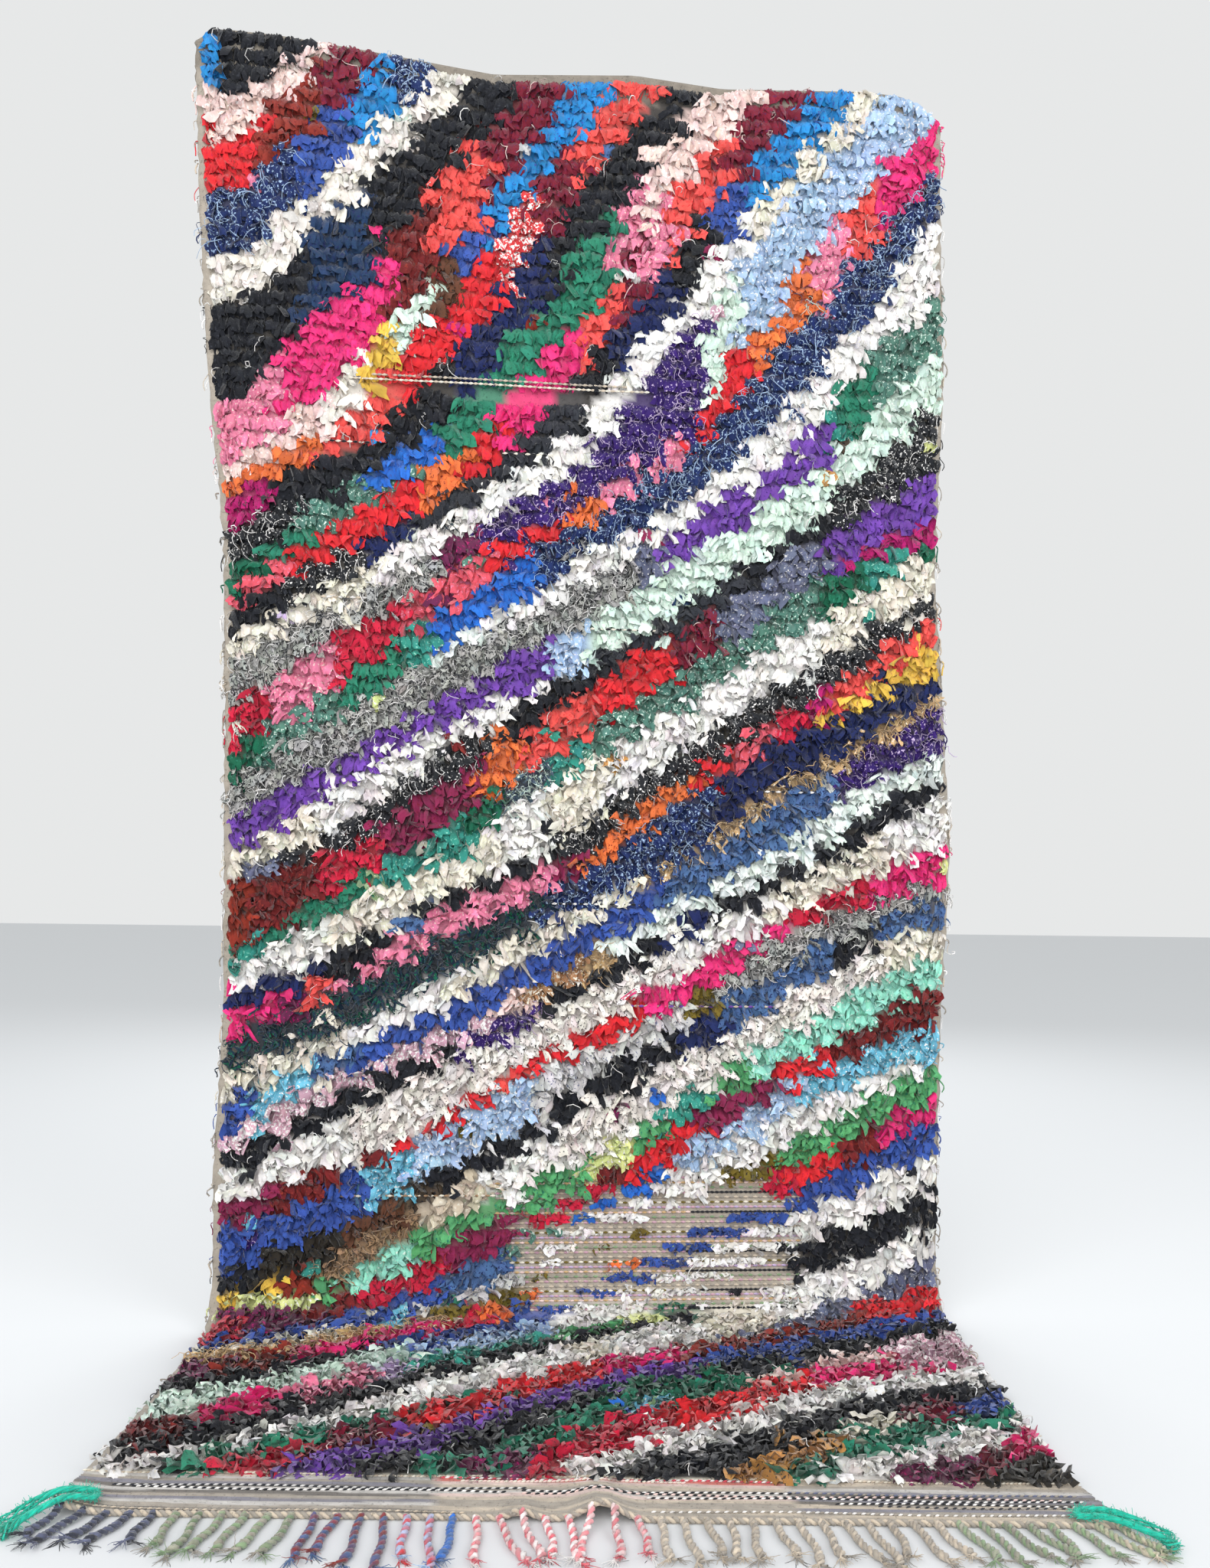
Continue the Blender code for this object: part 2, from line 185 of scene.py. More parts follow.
# Every stripe's lower edge at seven places across, heights above the floor or, on the floor,
# minus the distance in front of the hanging part. Then its colours from the left, each but the
# last followed by the place across where it ends.
STRIPE_PLACES = (-0.66, -0.45, -0.25, -0.05, 0.15, 0.35, 0.58)
STRIPES = (
    (2.155, 2.310, 2.460, 2.600, 2.750, 2.900, 3.070, "bright_blue -0.70 black"),
    (2.070, 2.290, 2.450, 2.590, 2.740, 2.890, 3.060, "blush"),
    (1.970, 2.190, 2.400, 2.560, 2.720, 2.880, 3.050, "red -0.62 brick -0.53 burgundy"),
    (1.860, 2.080, 2.300, 2.500, 2.680, 2.850, 3.030,
     "navy_fleck -0.56 royal -0.47 bright_blue -0.40 navy_fleck"),
    (1.780, 1.990, 2.220, 2.440, 2.640, 2.820, 3.000, "ivory"),
    (1.610, 1.835, 2.095, 2.350, 2.600, 2.790, 2.970, "black -0.55 navy_teal -0.43 black"),
    (1.500, 1.690, 1.950, 2.250, 2.520, 2.730, 2.930,
     "pink -0.58 hot_pink -0.40 maroon -0.32 coral -0.23 burgundy"),
    (1.475, 1.600, 1.870, 2.150, 2.420, 2.650, 2.880,
     "blush -0.50 ivory -0.43 mustard -0.38 mint -0.33 brown -0.29 royal -0.22 bright_blue"),
    (1.460, 1.535, 1.755, 2.040, 2.300, 2.550, 2.800,
     "orange -0.52 coral -0.38 red -0.20 red_print -0.14 burgundy -0.07 coral"),
    (1.385, 1.485, 1.635, 1.940, 2.190, 2.430, 2.700, "magenta -0.59 black -0.27 navy -0.12 black"),
    (1.330, 1.440, 1.565, 1.800, 2.090, 2.320, 2.600,
     "black_fleck -0.53 grey_green -0.43 blue -0.30 green 0.00 pink 0.05 blush"),
    (1.285, 1.420, 1.565, 1.800, 2.090, 2.320, 2.600, "dark_green -0.60 green -0.50 grey_green"),
    (1.255, 1.365, 1.490, 1.690, 1.980, 2.215, 2.500,
     "rose -0.56 red -0.34 orange -0.26 red -0.20 hot_pink -0.05 coral 0.00 burgundy 0.05 pink "
     "0.10 coral 0.19 burgundy"),
    (1.200, 1.320, 1.450, 1.605, 1.880, 2.120, 2.400,
     "black -0.57 black_fleck -0.43 navy -0.33 charcoal -0.05 black 0.00 navy 0.10 black 0.17 "
     "royal 0.24 bright_blue"),
    (1.160, 1.275, 1.400, 1.535, 1.800, 2.060, 2.330, "cream -0.40 white 0.25 cream"),
    (1.085, 1.225, 1.350, 1.455, 1.600, 1.930, 2.190,
     "grey_marl -0.30 plum -0.22 indigo 0.17 mint 0.22 light_blue"),
    (1.010, 1.140, 1.295, 1.420, 1.560, 1.810, 2.080,
     "crimson -0.60 pink -0.48 crimson -0.36 rose -0.20 red -0.08 orange 0.00 pink 0.14 red 0.26 "
     "orange 0.35 pink 0.42 coral 0.48 hot_pink"),
    (0.945, 1.090, 1.225, 1.360, 1.490, 1.680, 2.000,
     "dark_green -0.60 grey_green -0.46 green -0.36 teal -0.30 blue -0.12 navy_fleck"),
    (0.930, 1.060, 1.200, 1.310, 1.435, 1.590, 1.875, "grey_marl -0.33 pale_mint -0.22 white"),
    (0.885, 1.010, 1.135, 1.245, 1.375, 1.520, 1.750,
     "grey_marl 0.05 slate 0.10 purple 0.38 teal 0.41 green 0.47 grey_green"),
    (0.830, 0.955, 1.085, 1.165, 1.295, 1.430, 1.660, "purple -0.10 light_blue -0.04 mint"),
    (0.790, 0.880, 1.035, 1.160, 1.295, 1.430, 1.660, "cream -0.50 white"),
    (0.765, 0.845, 0.985, 1.120, 1.255, 1.395, 1.540,
     "slate -0.57 black_fleck -0.20 black 0.00 charcoal 0.25 black 0.40 black_fleck"),
    (0.650, 0.780, 0.900, 1.045, 1.180, 1.325, 1.455,
     "rust -0.60 maroon -0.50 crimson -0.40 wine -0.22 orange -0.15 coral -0.02 red 0.12 burgundy "
     "0.20 slate 0.40 purple"),
    (0.650, 0.780, 0.900, 1.045, 1.180, 1.325, 1.415, "magenta"),
    (0.625, 0.735, 0.850, 0.990, 1.120, 1.250, 1.390,
     "teal -0.58 green -0.42 sage -0.39 teal -0.24 dark_green -0.17 slate_yarn -0.10 teal -0.05 "
     "grey_green 0.38 dark_green 0.47 teal 0.55 dark_green"),
    (0.575, 0.670, 0.775, 0.880, 1.040, 1.165, 1.320,
     "white -0.48 cream -0.20 white -0.10 cream 0.00 white 0.40 cream"),
    (0.555, 0.625, 0.750, 0.840, 0.985, 1.115, 1.270,
     "navy -0.50 black -0.37 denim -0.30 black -0.10 black_fleck"),
    (0.505, 0.600, 0.700, 0.800, 0.940, 1.065, 1.225,
     "hot_pink -0.57 plum -0.52 coral -0.46 pink -0.10 wine -0.05 orange 0.17 red 0.24 rose 0.30 "
     "crimson 0.36 magenta 0.40 coral"),
    (0.505, 0.600, 0.700, 0.800, 0.940, 1.065, 1.165, "mustard"),
    (0.440, 0.525, 0.635, 0.735, 0.845, 0.985, 1.130, "navy_green -0.10 navy_fleck 0.20 navy"),
    (0.395, 0.490, 0.585, 0.695, 0.825, 0.955, 1.105, "cream -0.45 white -0.27 cream 0.06 camel"),
    (0.345, 0.445, 0.545, 0.650, 0.765, 0.890, 1.030,
     "royal -0.61 aqua -0.50 denim -0.42 royal 0.10 denim 0.42 indigo"),
    (0.310, 0.410, 0.510, 0.610, 0.725, 0.830, 0.980,
     "mauve -0.20 blush -0.13 copper -0.04 camel 0.02 pale_mint"),
    (0.270, 0.375, 0.475, 0.585, 0.690, 0.800, 0.945, "black -0.25 indigo -0.12 black 0.10 navy 0.20 black"),
    (0.230, 0.290, 0.390, 0.515, 0.635, 0.735, 0.860,
     "white -0.45 specked 0.12 white 0.30 cream 0.50 white"),
    (0.155, 0.270, 0.375, 0.480, 0.585, 0.700, 0.800,
     "wine -0.58 maroon -0.38 red -0.20 coral -0.13 red 0.07 hot_pink 0.35 crimson 0.48 hot_pink"),
    (0.095, 0.185, 0.300, 0.415, 0.540, 0.655, 0.765,
     "royal -0.42 aqua -0.34 light_blue -0.12 grey_white 0.14 olive 0.20 grey_marl"),
    (0.045, 0.135, 0.260, 0.370, 0.485, 0.600, 0.720,
     "black -0.60 olive_black -0.45 brown -0.36 olive_brown -0.30 black 0.13 navy 0.20 denim 0.42 "
     "black 0.50 denim"),
    (0.025, 0.090, 0.195, 0.295, 0.405, 0.535, 0.660,
     "mustard -0.55 rust -0.50 tan -0.33 beige -0.22 white -0.08 specked 0.50 cream"),
    (-0.010, 0.045, 0.155, 0.235, 0.370, 0.470, 0.600,
     "yellow_green -0.50 leaf -0.45 sea_mint -0.32 leaf -0.03 yellow_green 0.05 leaf 0.10 teal "
     "0.20 leaf 0.27 sea_mint"),
    (-0.130, -0.010, 0.100, 0.195, 0.320, 0.430, 0.535,
     "crimson -0.62 plum -0.50 maroon -0.42 crimson -0.27 wine -0.13 crimson 0.00 maroon 0.04 red "
     "0.17 wine 0.32 red 0.42 maroon"),
    (-0.190, -0.060, 0.030, 0.165, 0.285, 0.390, 0.475,
     "royal -0.28 denim -0.16 grey_green -0.05 blue 0.12 light_blue 0.36 aqua"),
    (-0.205, -0.095, 0.010, 0.120, 0.225, 0.330, 0.455, "cream -0.40 aqua -0.30 grey_white -0.10 white"),
    (-0.235, -0.140, -0.020, 0.080, 0.190, 0.290, 0.400, "camel -0.28 olive 0.30 leaf"),
    (-0.300, -0.205, -0.070, 0.045, 0.145, 0.240, 0.365,
     "plum -0.62 brick -0.50 hot_pink -0.30 crimson -0.20 orange 0.28 crimson 0.34 red 0.42 maroon "
     "0.48 hot_pink"),
    (-0.360, -0.240, -0.125, -0.010, 0.100, 0.195, 0.305, "black -0.37 royal"),
    (-0.450, -0.305, -0.185, -0.080, 0.020, 0.125, 0.240, "mint -0.32 light_blue -0.10 white"),
    (-0.520, -0.380, -0.240, -0.110, -0.020, 0.070, 0.165,
     "maroon -0.62 hot_pink -0.50 pink -0.38 lilac -0.32 teal -0.12 leaf 0.02 yellow_green 0.10 "
     "dark_green 0.20 black"),
    (-0.570, -0.455, -0.295, -0.145, -0.035, 0.065, 0.165, "black"),
    (-0.610, -0.500, -0.395, -0.260, -0.180, -0.035, 0.115,
     "white -0.05 cream 0.00 white 0.15 cream 0.30 white"),
    (-0.650, -0.535, -0.405, -0.260, -0.180, -0.035, 0.115, "green"),
    (-0.650, -0.535, -0.405, -0.260, -0.180, -0.080, 0.055, "slate"),
    (-0.700, -0.590, -0.475, -0.330, -0.230, -0.130, -0.020,
     "crimson -0.45 burgundy -0.33 red -0.02 hot_pink 0.12 brick 0.45 red"),
    (-0.750, -0.655, -0.535, -0.390, -0.285, -0.190, -0.090, "purple 0.13 royal"),
    (-0.820, -0.710, -0.590, -0.435, -0.360, -0.250, -0.150, "black -0.03 dark_green 0.17 black"),
    (-0.860, -0.750, -0.630, -0.500, -0.395, -0.250, -0.150, "green 0.02 aqua 0.07 green"),
    (-0.860, -0.750, -0.630, -0.500, -0.395, -0.285, -0.290, "blush 0.45 mauve"),
    (-0.950, -0.820, -0.695, -0.595, -0.470, -0.350, -0.290, "plum -0.15 crimson 0.05 red 0.30 hot_pink"),
    (-0.990, -0.860, -0.730, -0.655, -0.540, -0.425, -0.360, "white"),
    (-1.050, -0.950, -0.850, -0.735, -0.630, -0.490, -0.400, "black"),
    (-1.100, -1.000, -0.900, -0.790, -0.680, -0.535, -0.475, "gold 0.28 cream 0.42 burgundy 0.50 royal"),
    (-1.150, -1.050, -0.950, -0.830, -0.730, -0.600, -0.510, "green"),
    (-1.200, -1.100, -1.000, -0.870, -0.790, -0.665, -0.550, "white"),
    (-1.250, -1.150, -1.050, -0.920, -0.850, -0.735, -0.620, "plum 0.45 burgundy 0.50 hot_pink"),
    (-1.600, -1.600, -1.600, -1.600, -1.600, -1.600, -1.600, "olive_black 0.57 royal"),
)

# ---------------------------------------------------------------- sizes of what is knotted in
HANGING_KNOT_ROWS = 78
BEND_KNOT_ROWS = 5
LYING_KNOT_ROWS = 21
KNOTS_A_ROW = 88
FLAPS_A_KNOT = 3
PLAIN_STRIP = (-0.065, 0.245, 0.013)  # middle x, half width and depth of the bare weave at the top
ROWS_A_PIECE = 9


def column(table, number):
    """One of a table's columns."""
    return np.array(table)[:, number]


def look_up(table, at, number):
    """A column's value where the table's first column is at."""
    return np.interp(at, column(table, 0), column(table, number))


def hanging_x(height, across):
    left = look_up(HANGING_SIDES, height, 1)
    right = look_up(HANGING_SIDES, height, 2)
    return left + (right - left) * across


def lying_x(share, across):
    left = look_up(LYING_SIDES, share, 1)
    right = look_up(LYING_SIDES, share, 2)
    return left + (right - left) * across


def lying_run(across):
    return LEFT_RUN + (RIGHT_RUN - LEFT_RUN) * across - BEND_RADIUS


def top_height(across):
    return look_up(TOP_EDGE, hanging_x(TOP_LEVEL, across), 1)


def lift(x, from_edge):
    """Height of the cloth's waves off the floor, near its outer edge."""
    total = 0.0
    for centre, height, half_width, reach in LIFTS:
        side = np.abs(x - centre) / half_width
        inward = np.maximum(0.0, 1.0 - from_edge / reach)
        total = total + height * np.exp(-1.4 * side**2) * inward**1.5
    return total


def hanging_wave(across, height):
    """Depth of the hanging part's gentle waves, none at the top edge and the bend."""
    share = np.clip((height - BEND_RADIUS) / 0.45, 0.0, 1.0)
    top_share = np.clip((top_height(across) - 0.046 - height) / 0.40, 0.0, 1.0)
    total = 0.0
    for depth, over_width, over_height, phase in HANGING_WAVES:
        turn = across * over_width + height / 2.2 * over_height
        total = total + depth * np.sin(2 * math.pi * turn + phase)
    return total * share * top_share


def worn_share(x, path):
    """How much thinner the pile is, 1 in the middle of the worn patch."""
    aside = (x - WORN_CENTRE[0]) / WORN_REACH[0]
    along = (path - WORN_CENTRE[1]) / WORN_REACH[1]
    return np.exp(-1.2 * (aside**4 + along**4))


def bare_share(x, height):
    """How far the rags are worn away, 1 in the middle of the patch."""
    left = -0.17 - 0.25 * (height - 0.12)
    sides = np.minimum((x - left) / 0.05, (0.37 - x) / 0.04)
    ends = np.minimum((0.262 - height) / 0.02, (height + 0.015) / 0.03)
    return np.clip(np.minimum(sides, ends), 0.0, 1.0)


def pile_at(x, path):
    """From the cloth's back to the rags' tips."""
    uneven = 0.0
    for share, over_width, over_length, phase in PILE_WAVES:
        uneven = uneven + share * np.sin(over_width * x + over_length * path + phase)
    return PILE + PILE_UNEVEN * uneven - (PILE - WORN_PILE) * worn_share(x, path)


def cloth(path, across):
    """The cloth's back at a path measured down from where the bend starts.

    Gives its place, the ways out of the pile and down the cloth, and the height in STRIPES' terms.
    """
    path, across = np.broadcast_arrays(path, across)
    angle = np.clip(path / BEND_RADIUS, 0.0, math.pi / 2)
    height = np.maximum(BEND_RADIUS - path, BEND_RADIUS)
    lying = np.maximum(path - BEND_PATH, 0.0)
    share = lying / lying_run(across)
    x = np.where(lying > 0, lying_x(share, across), hanging_x(height, across))
    y = -BEND_RADIUS + BEND_RADIUS * np.cos(angle) - lying
    z = BEND_RADIUS - BEND_RADIUS * np.sin(angle)
    stripe_height = np.where(path < 0, height, z + y)
    z = np.where(path < 0, height, z + lift(x, lying_run(across) - lying) * (lying > 0))
    y = y + np.where(path < 0, hanging_wave(across, height), 0.0)
    none = np.zeros_like(x)
    out = np.stack([none, -np.cos(angle), np.sin(angle)], -1)
    down = np.stack([none, -np.sin(angle), -np.cos(angle)], -1)
    return np.stack([x, y, z], -1), out, down, stripe_height


# ---------------------------------------------------------------- colours of the stripes
def linear(colour):
    """Light values of a colour as it is seen."""
    colour = np.asarray(colour)
    return np.where(colour <= 0.04045, colour / 12.92, ((colour + 0.055) / 1.055) ** 2.4)


COLOUR_NAMES = list(PALETTE)
RAG_COLOURS = linear([PALETTE[name][:3] for name in COLOUR_NAMES])
MARK_COLOURS = linear([PALETTE[PALETTE[name][3]][:3] for name in COLOUR_NAMES])
MARK_SHARES = np.array([PALETTE[name][4] for name in COLOUR_NAMES])
IS_YARN = np.array([PALETTE[name][5] == "yarn" for name in COLOUR_NAMES])
IS_SATIN = np.array([PALETTE[name][5] == "satin" for name in COLOUR_NAMES])


def stripe_colour(x, height):
    """Number of the palette's colour at each place."""
    found = np.full(x.shape, COLOUR_NAMES.index("olive_black"))
    open_yet = np.ones(x.shape, bool)
    for *edge, words in STRIPES:
        inside = open_yet & (height > np.interp(x, STRIPE_PLACES, edge))
        words = words.split()
        names = words[::2]
        ends = [float(word) for word in words[1::2]]
        numbers = np.array([COLOUR_NAMES.index(name) for name in names])
        found[inside] = numbers[np.searchsorted(ends, x[inside])]
        open_yet &= ~inside
    return found


# ---------------------------------------------------------------- meshes from arrays
def grid_faces(count, rows, columns, round_columns=False):
    """Quads of many equal grids whose points follow each other, row by row."""
    last = columns if round_columns else columns - 1
    i, j = np.meshgrid(np.arange(rows - 1), np.arange(last), indexing="ij")
    i, j = i.ravel(), j.ravel()
    after = (j + 1) % columns
    here, below = i * columns, (i + 1) * columns
    quads = np.stack([here + j, here + after, below + after, below + j], 1)
    starts = np.arange(count) * rows * columns
    return (starts[:, None, None] + quads).reshape(-1, 4)


def unit(vectors):
    return vectors / np.maximum(np.linalg.norm(vectors, axis=-1, keepdims=True), 1e-9)


def tubes(routes, radii, sides):
    """Points of round strands along routes (count, steps, 3), with radii (count, steps)."""
    heading = unit(np.gradient(routes, axis=1))
    side = unit(np.cross(heading, np.array([0.31, 0.22, 0.92])))
    up = np.cross(side, heading)
    angles = 2 * math.pi * np.arange(sides) / sides
    ring = np.cos(angles)[:, None] * side[:, :, None] + np.sin(angles)[:, None] * up[:, :, None]
    return routes[:, :, None] + ring * radii[:, :, None, None]


def place_in_world(points):
    return points + SHIFT


def new_piece(name, points, faces, material, colours=None, marks=None, traits=None, uvs=None):
    """One object from world points, with the colours that its material reads."""
    mesh = bpy.data.meshes.new(name)
    mesh.from_pydata(points.reshape(-1, 3), [], faces)
    if uvs is not None:
        layer = mesh.uv_layers.new(name="OFBake")
        layer.uv.foreach_set("vector", uvs.reshape(-1, 2)[faces.ravel()].astype(np.float32).ravel())
    for label, values in (("rag", colours), ("mark", marks), ("traits", traits)):
        if values is not None:
            layer = mesh.color_attributes.new(label, "FLOAT_COLOR", "POINT")
            full = np.concatenate([values.reshape(-1, 3), np.ones((len(values.reshape(-1, 3)), 1))], 1)
            layer.data.foreach_set("color", full.astype(np.float32).ravel())
    mesh.materials.append(material)
    mesh.shade_smooth()
    mesh.update()
    piece = bpy.data.objects.new(name, mesh)
    bpy.context.scene.collection.objects.link(piece)
    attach(piece, "root")
    return piece


# ---------------------------------------------------------------- materials
def node_helper(material):
    """A function that adds a node with its inputs and settings."""
    tree = material.node_tree

    def add(kind, inputs=(), **settings):
        node = tree.nodes.new(kind)
        for key, value in settings.items():
            setattr(node, key, value)
        for socket, value in dict(inputs).items():
            if isinstance(value, bpy.types.NodeSocket):
                tree.links.new(value, node.inputs[socket])
            else:
                node.inputs[socket].default_value = value
        return node

    return add


def fabric_material(name, crease, thread, thread_scale, roughness, sheen):
    """Cloth whose colour comes from the mesh, with flecks, creases and thread."""
    material = bpy.data.materials.new(name)
    material.use_nodes = True
    shader = material.node_tree.nodes["Principled BSDF"]
    add = node_helper(material)
    place = add("ShaderNodeTexCoord").outputs["Object"]
    rag = add("ShaderNodeAttribute", attribute_name="rag").outputs["Color"]
    mark = add("ShaderNodeAttribute", attribute_name="mark").outputs["Color"]
    traits = add("ShaderNodeAttribute", attribute_name="traits").outputs["Color"]
    parts = add("ShaderNodeSeparateColor", {"Color": traits})
    share, satin = parts.outputs[0], parts.outputs[1]
    spots = add("ShaderNodeTexNoise", {"Vector": place, "Scale": 210.0, "Detail": 1.0}).outputs["Fac"]
    drop = add("ShaderNodeMath", {0: share, 1: 0.55}, operation="MULTIPLY").outputs[0]
    limit = add("ShaderNodeMath", {0: 0.66, 1: drop}, operation="SUBTRACT").outputs[0]
    over = add("ShaderNodeMath", {0: spots, 1: limit}, operation="SUBTRACT").outputs[0]
    sharp = add("ShaderNodeMath", {0: over, 1: 14.0}, operation="MULTIPLY", use_clamp=True).outputs[0]
    spotted = add("ShaderNodeMix", {"Factor": sharp, "A": rag, "B": mark}, data_type="RGBA")
    for socket, value in (("A", rag), ("B", mark)):
        link_colour(material, spotted, socket, value)
    shade = add("ShaderNodeTexNoise", {"Vector": place, "Scale": 70.0, "Detail": 3.0}).outputs["Fac"]
    span = {"From Min": 0.3, "From Max": 0.7, "To Min": 0.86, "To Max": 1.10}
    level = add("ShaderNodeMapRange", {"Value": shade, **span})
    mixed = add("ShaderNodeVectorMath", operation="SCALE")
    material.node_tree.links.new(colour_output(spotted), mixed.inputs[0])
    material.node_tree.links.new(level.outputs[0], mixed.inputs["Scale"])
    material.node_tree.links.new(mixed.outputs[0], shader.inputs["Base Color"])
    dull = add("ShaderNodeMapRange", {"Value": satin, "To Min": roughness, "To Max": 0.42}).outputs[0]
    material.node_tree.links.new(dull, shader.inputs["Roughness"])
    folds = add("ShaderNodeTexNoise", {"Vector": place, "Scale": 160.0, "Detail": 3.0}).outputs["Fac"]
    fine = {"Vector": place, "Scale": thread_scale, "Detail": 2.0}
    threads = add("ShaderNodeTexNoise", fine).outputs["Fac"]
    creased = add("ShaderNodeBump", {"Height": folds, "Strength": crease, "Distance": 0.003})
    woven = add(
        "ShaderNodeBump",
        {"Height": threads, "Strength": thread, "Distance": 0.0008, "Normal": creased.outputs[0]},
    )
    material.node_tree.links.new(woven.outputs[0], shader.inputs["Normal"])
    shader.inputs["Sheen Weight"].default_value = sheen
    shader.inputs["Sheen Roughness"].default_value = 0.5
    shader.inputs["Specular IOR Level"].default_value = 0.25
    return material


def colour_output(mix):
    return next(out for out in mix.outputs if out.type == "RGBA" and out.enabled)


def link_colour(material, mix, letter, value):
    target = next(s for s in mix.inputs if s.name == letter and s.type == "RGBA" and s.enabled)
    material.node_tree.links.new(value, target)


# ---------------------------------------------------------------- the ground weave
HANGING_STATIONS = 150
BEND_STATIONS = 10
LYING_STATIONS = 70
BAND_STATIONS = 40
GROUND_COLUMNS = 76


def ground_columns(across):
    """Back and front rows of the weave down the cloth, each (stations, columns, 3), and their paths."""
    top = top_height(across)
    top_x = hanging_x(TOP_LEVEL, across)
    middle = TURNED_GAP / 2
    fold = top - WEAVE - middle
    backs, fronts, paths = [], [], []

    def station(back_y, back_z, front_y, front_z, path):
        backs.append(np.stack([top_x, back_y + 0 * top_x, back_z], -1))
        fronts.append(np.stack([top_x, front_y + 0 * top_x, front_z], -1))
        paths.append(path + 0 * top_x)

    for number in range(7):
        height = fold - TURNED_END * (1 - number / 7)
        station(TURNED_GAP, height, TURNED_GAP + WEAVE, height, TURNED_PATH)
    for step in range(7):
        angle = math.pi * step / 6
        inner, outer = middle, middle + WEAVE
        turn = math.cos(angle), math.sin(angle)
        station(
            middle + inner * turn[0],
            fold + inner * turn[1],
            middle + outer * turn[0],
            fold + outer * turn[1],
            FOLD_PATH,
        )
    rags_from = top - TOP_WEAVE
    hanging = np.linspace(0.0, 1.0, HANGING_STATIONS)[:, None]
    path = (BEND_RADIUS - rags_from) * (1 - hanging)
    under_pile = (lying_run(across) - BAND) * np.linspace(0.0, 1.0, LYING_STATIONS)[:, None]
    in_band = lying_run(across) - BAND + BAND * np.linspace(0.0, 1.0, BAND_STATIONS + 1)[1:, None]
    lying_path = BEND_PATH + np.concatenate([under_pile, in_band])
    bend_path = BEND_PATH * np.linspace(0.0, 1.0, BEND_STATIONS + 2)[1:-1, None] + 0 * across
    path = np.concatenate([path, bend_path, lying_path])
    back, out, _, _ = cloth(path, across[None, :] + 0 * path)
    from_edge = (BEND_PATH + lying_run(across) - path) / BAND
    thick = np.where(from_edge < 1.0, WEAVE * 0.9, WEAVE)
    rib = 0.0006 * np.where(np.arange(len(path)) % 2, 1.0, -1.0)[:, None] * (from_edge < 1.0)
    front = back + out * (thick + rib)[..., None]
    return (
        np.concatenate([np.array(backs), back]),
        np.concatenate([np.array(fronts), front]),
        np.concatenate([np.array(paths), path]),
    )


BAND_LINES = (  # share of the band's depth, from across, to across, first colour, second colour
    (0.020, 0.000, 1.000, "cream", "beige"),
    (0.075, 0.360, 0.690, "rose", "white"),
    (0.120, 0.380, 0.600, "cream", "blush"),
    (0.330, 0.040, 0.440, "charcoal", "grey_white"),
    (0.400, 0.060, 0.420, "black", "white"),
    (0.370, 0.440, 0.700, "black", "white"),
    (0.430, 0.440, 0.960, "blush", "black"),
    (0.490, 0.560, 0.980, "white", "black"),
    (0.350, 0.700, 0.980, "slate", "taupe"),
    (0.580, 0.740, 0.980, "black", "white"),
    (0.640, 0.780, 0.960, "charcoal", "taupe"),
    (0.820, 0.560, 0.960, "white", "taupe"),
    (0.900, 0.000, 0.380, "taupe", "beige"),
)
BAND_STITCH = 0.0056
WORN_STITCH = 0.0088
LINE_STITCH = 0.0085
STITCH_SIDES = 5


def band_point(share_of_band, across, above):
    """A place on the band, its share going from the pile to the outer edge."""
    run = lying_run(across)
    path = BEND_PATH + run - BAND * (1.0 - share_of_band)
    back, out, down, _ = cloth(path, across)
    return back + out * (WEAVE + above)[..., None]


def stitches(middles, along, half_length, radius, names):
    """Little spindles along a direction, as the yarn shows between two warps."""
    count = len(middles)
    spots = np.array([-1.0, 0.0, 1.0])
    routes = middles[:, None] + along[:, None] * (spots[:, None] * half_length)
    radii = np.repeat([[0.35, 1.0, 0.35]], count, 0) * radius
    points = tubes(routes, radii, STITCH_SIDES)
    colours = np.repeat(RAG_COLOURS[names], len(spots) * STITCH_SIDES, 0)
    return points.reshape(-1, 3), colours, count


def band_stitches():
    """Middles, ways and colours of the stitches in the band's twined lines."""
    middles, ways, names = [], [], []
    for share, start, end, first, second in BAND_LINES:
        count = int((end - start) * BAND_WIDTH / BAND_STITCH)
        across = np.linspace(start, end, count)
        wander = 0.020 * np.sin(across * 23 + share * 40)
        place = band_point(share + wander, across, np.full(count, 0.0006))
        middles.append(place)
        ways.append(unit(np.gradient(place, axis=0)) + np.array([0, 0.45, 0]))
        pair = np.array([COLOUR_NAMES.index(first), COLOUR_NAMES.index(second)])
        names.append(pair[np.arange(count) % 2])
    middles, ways, names = np.concatenate(middles), np.concatenate(ways), np.concatenate(names)
    return middles, unit(ways), names


# ---------------------------------------------------------------- rows of knots
THIN_LINES = (  # height, from x, to x, share of knots left out: weave shows between the rows
    (1.655, -0.46, 0.08, 0.92),
    (1.215, -0.06, 0.12, 0.45),
    (1.550, -0.52, -0.40, 0.60),
    (1.010, 0.20, 0.36, 0.50),
    (0.775, -0.10, 0.02, 0.50),
    (0.715, -0.06, 0.40, 0.45),
    (0.253, -0.05, 0.32, 0.95),
    (0.215, -0.40, 0.50, 0.45),
    (2.170, -0.33, 0.20, 0.35),
)


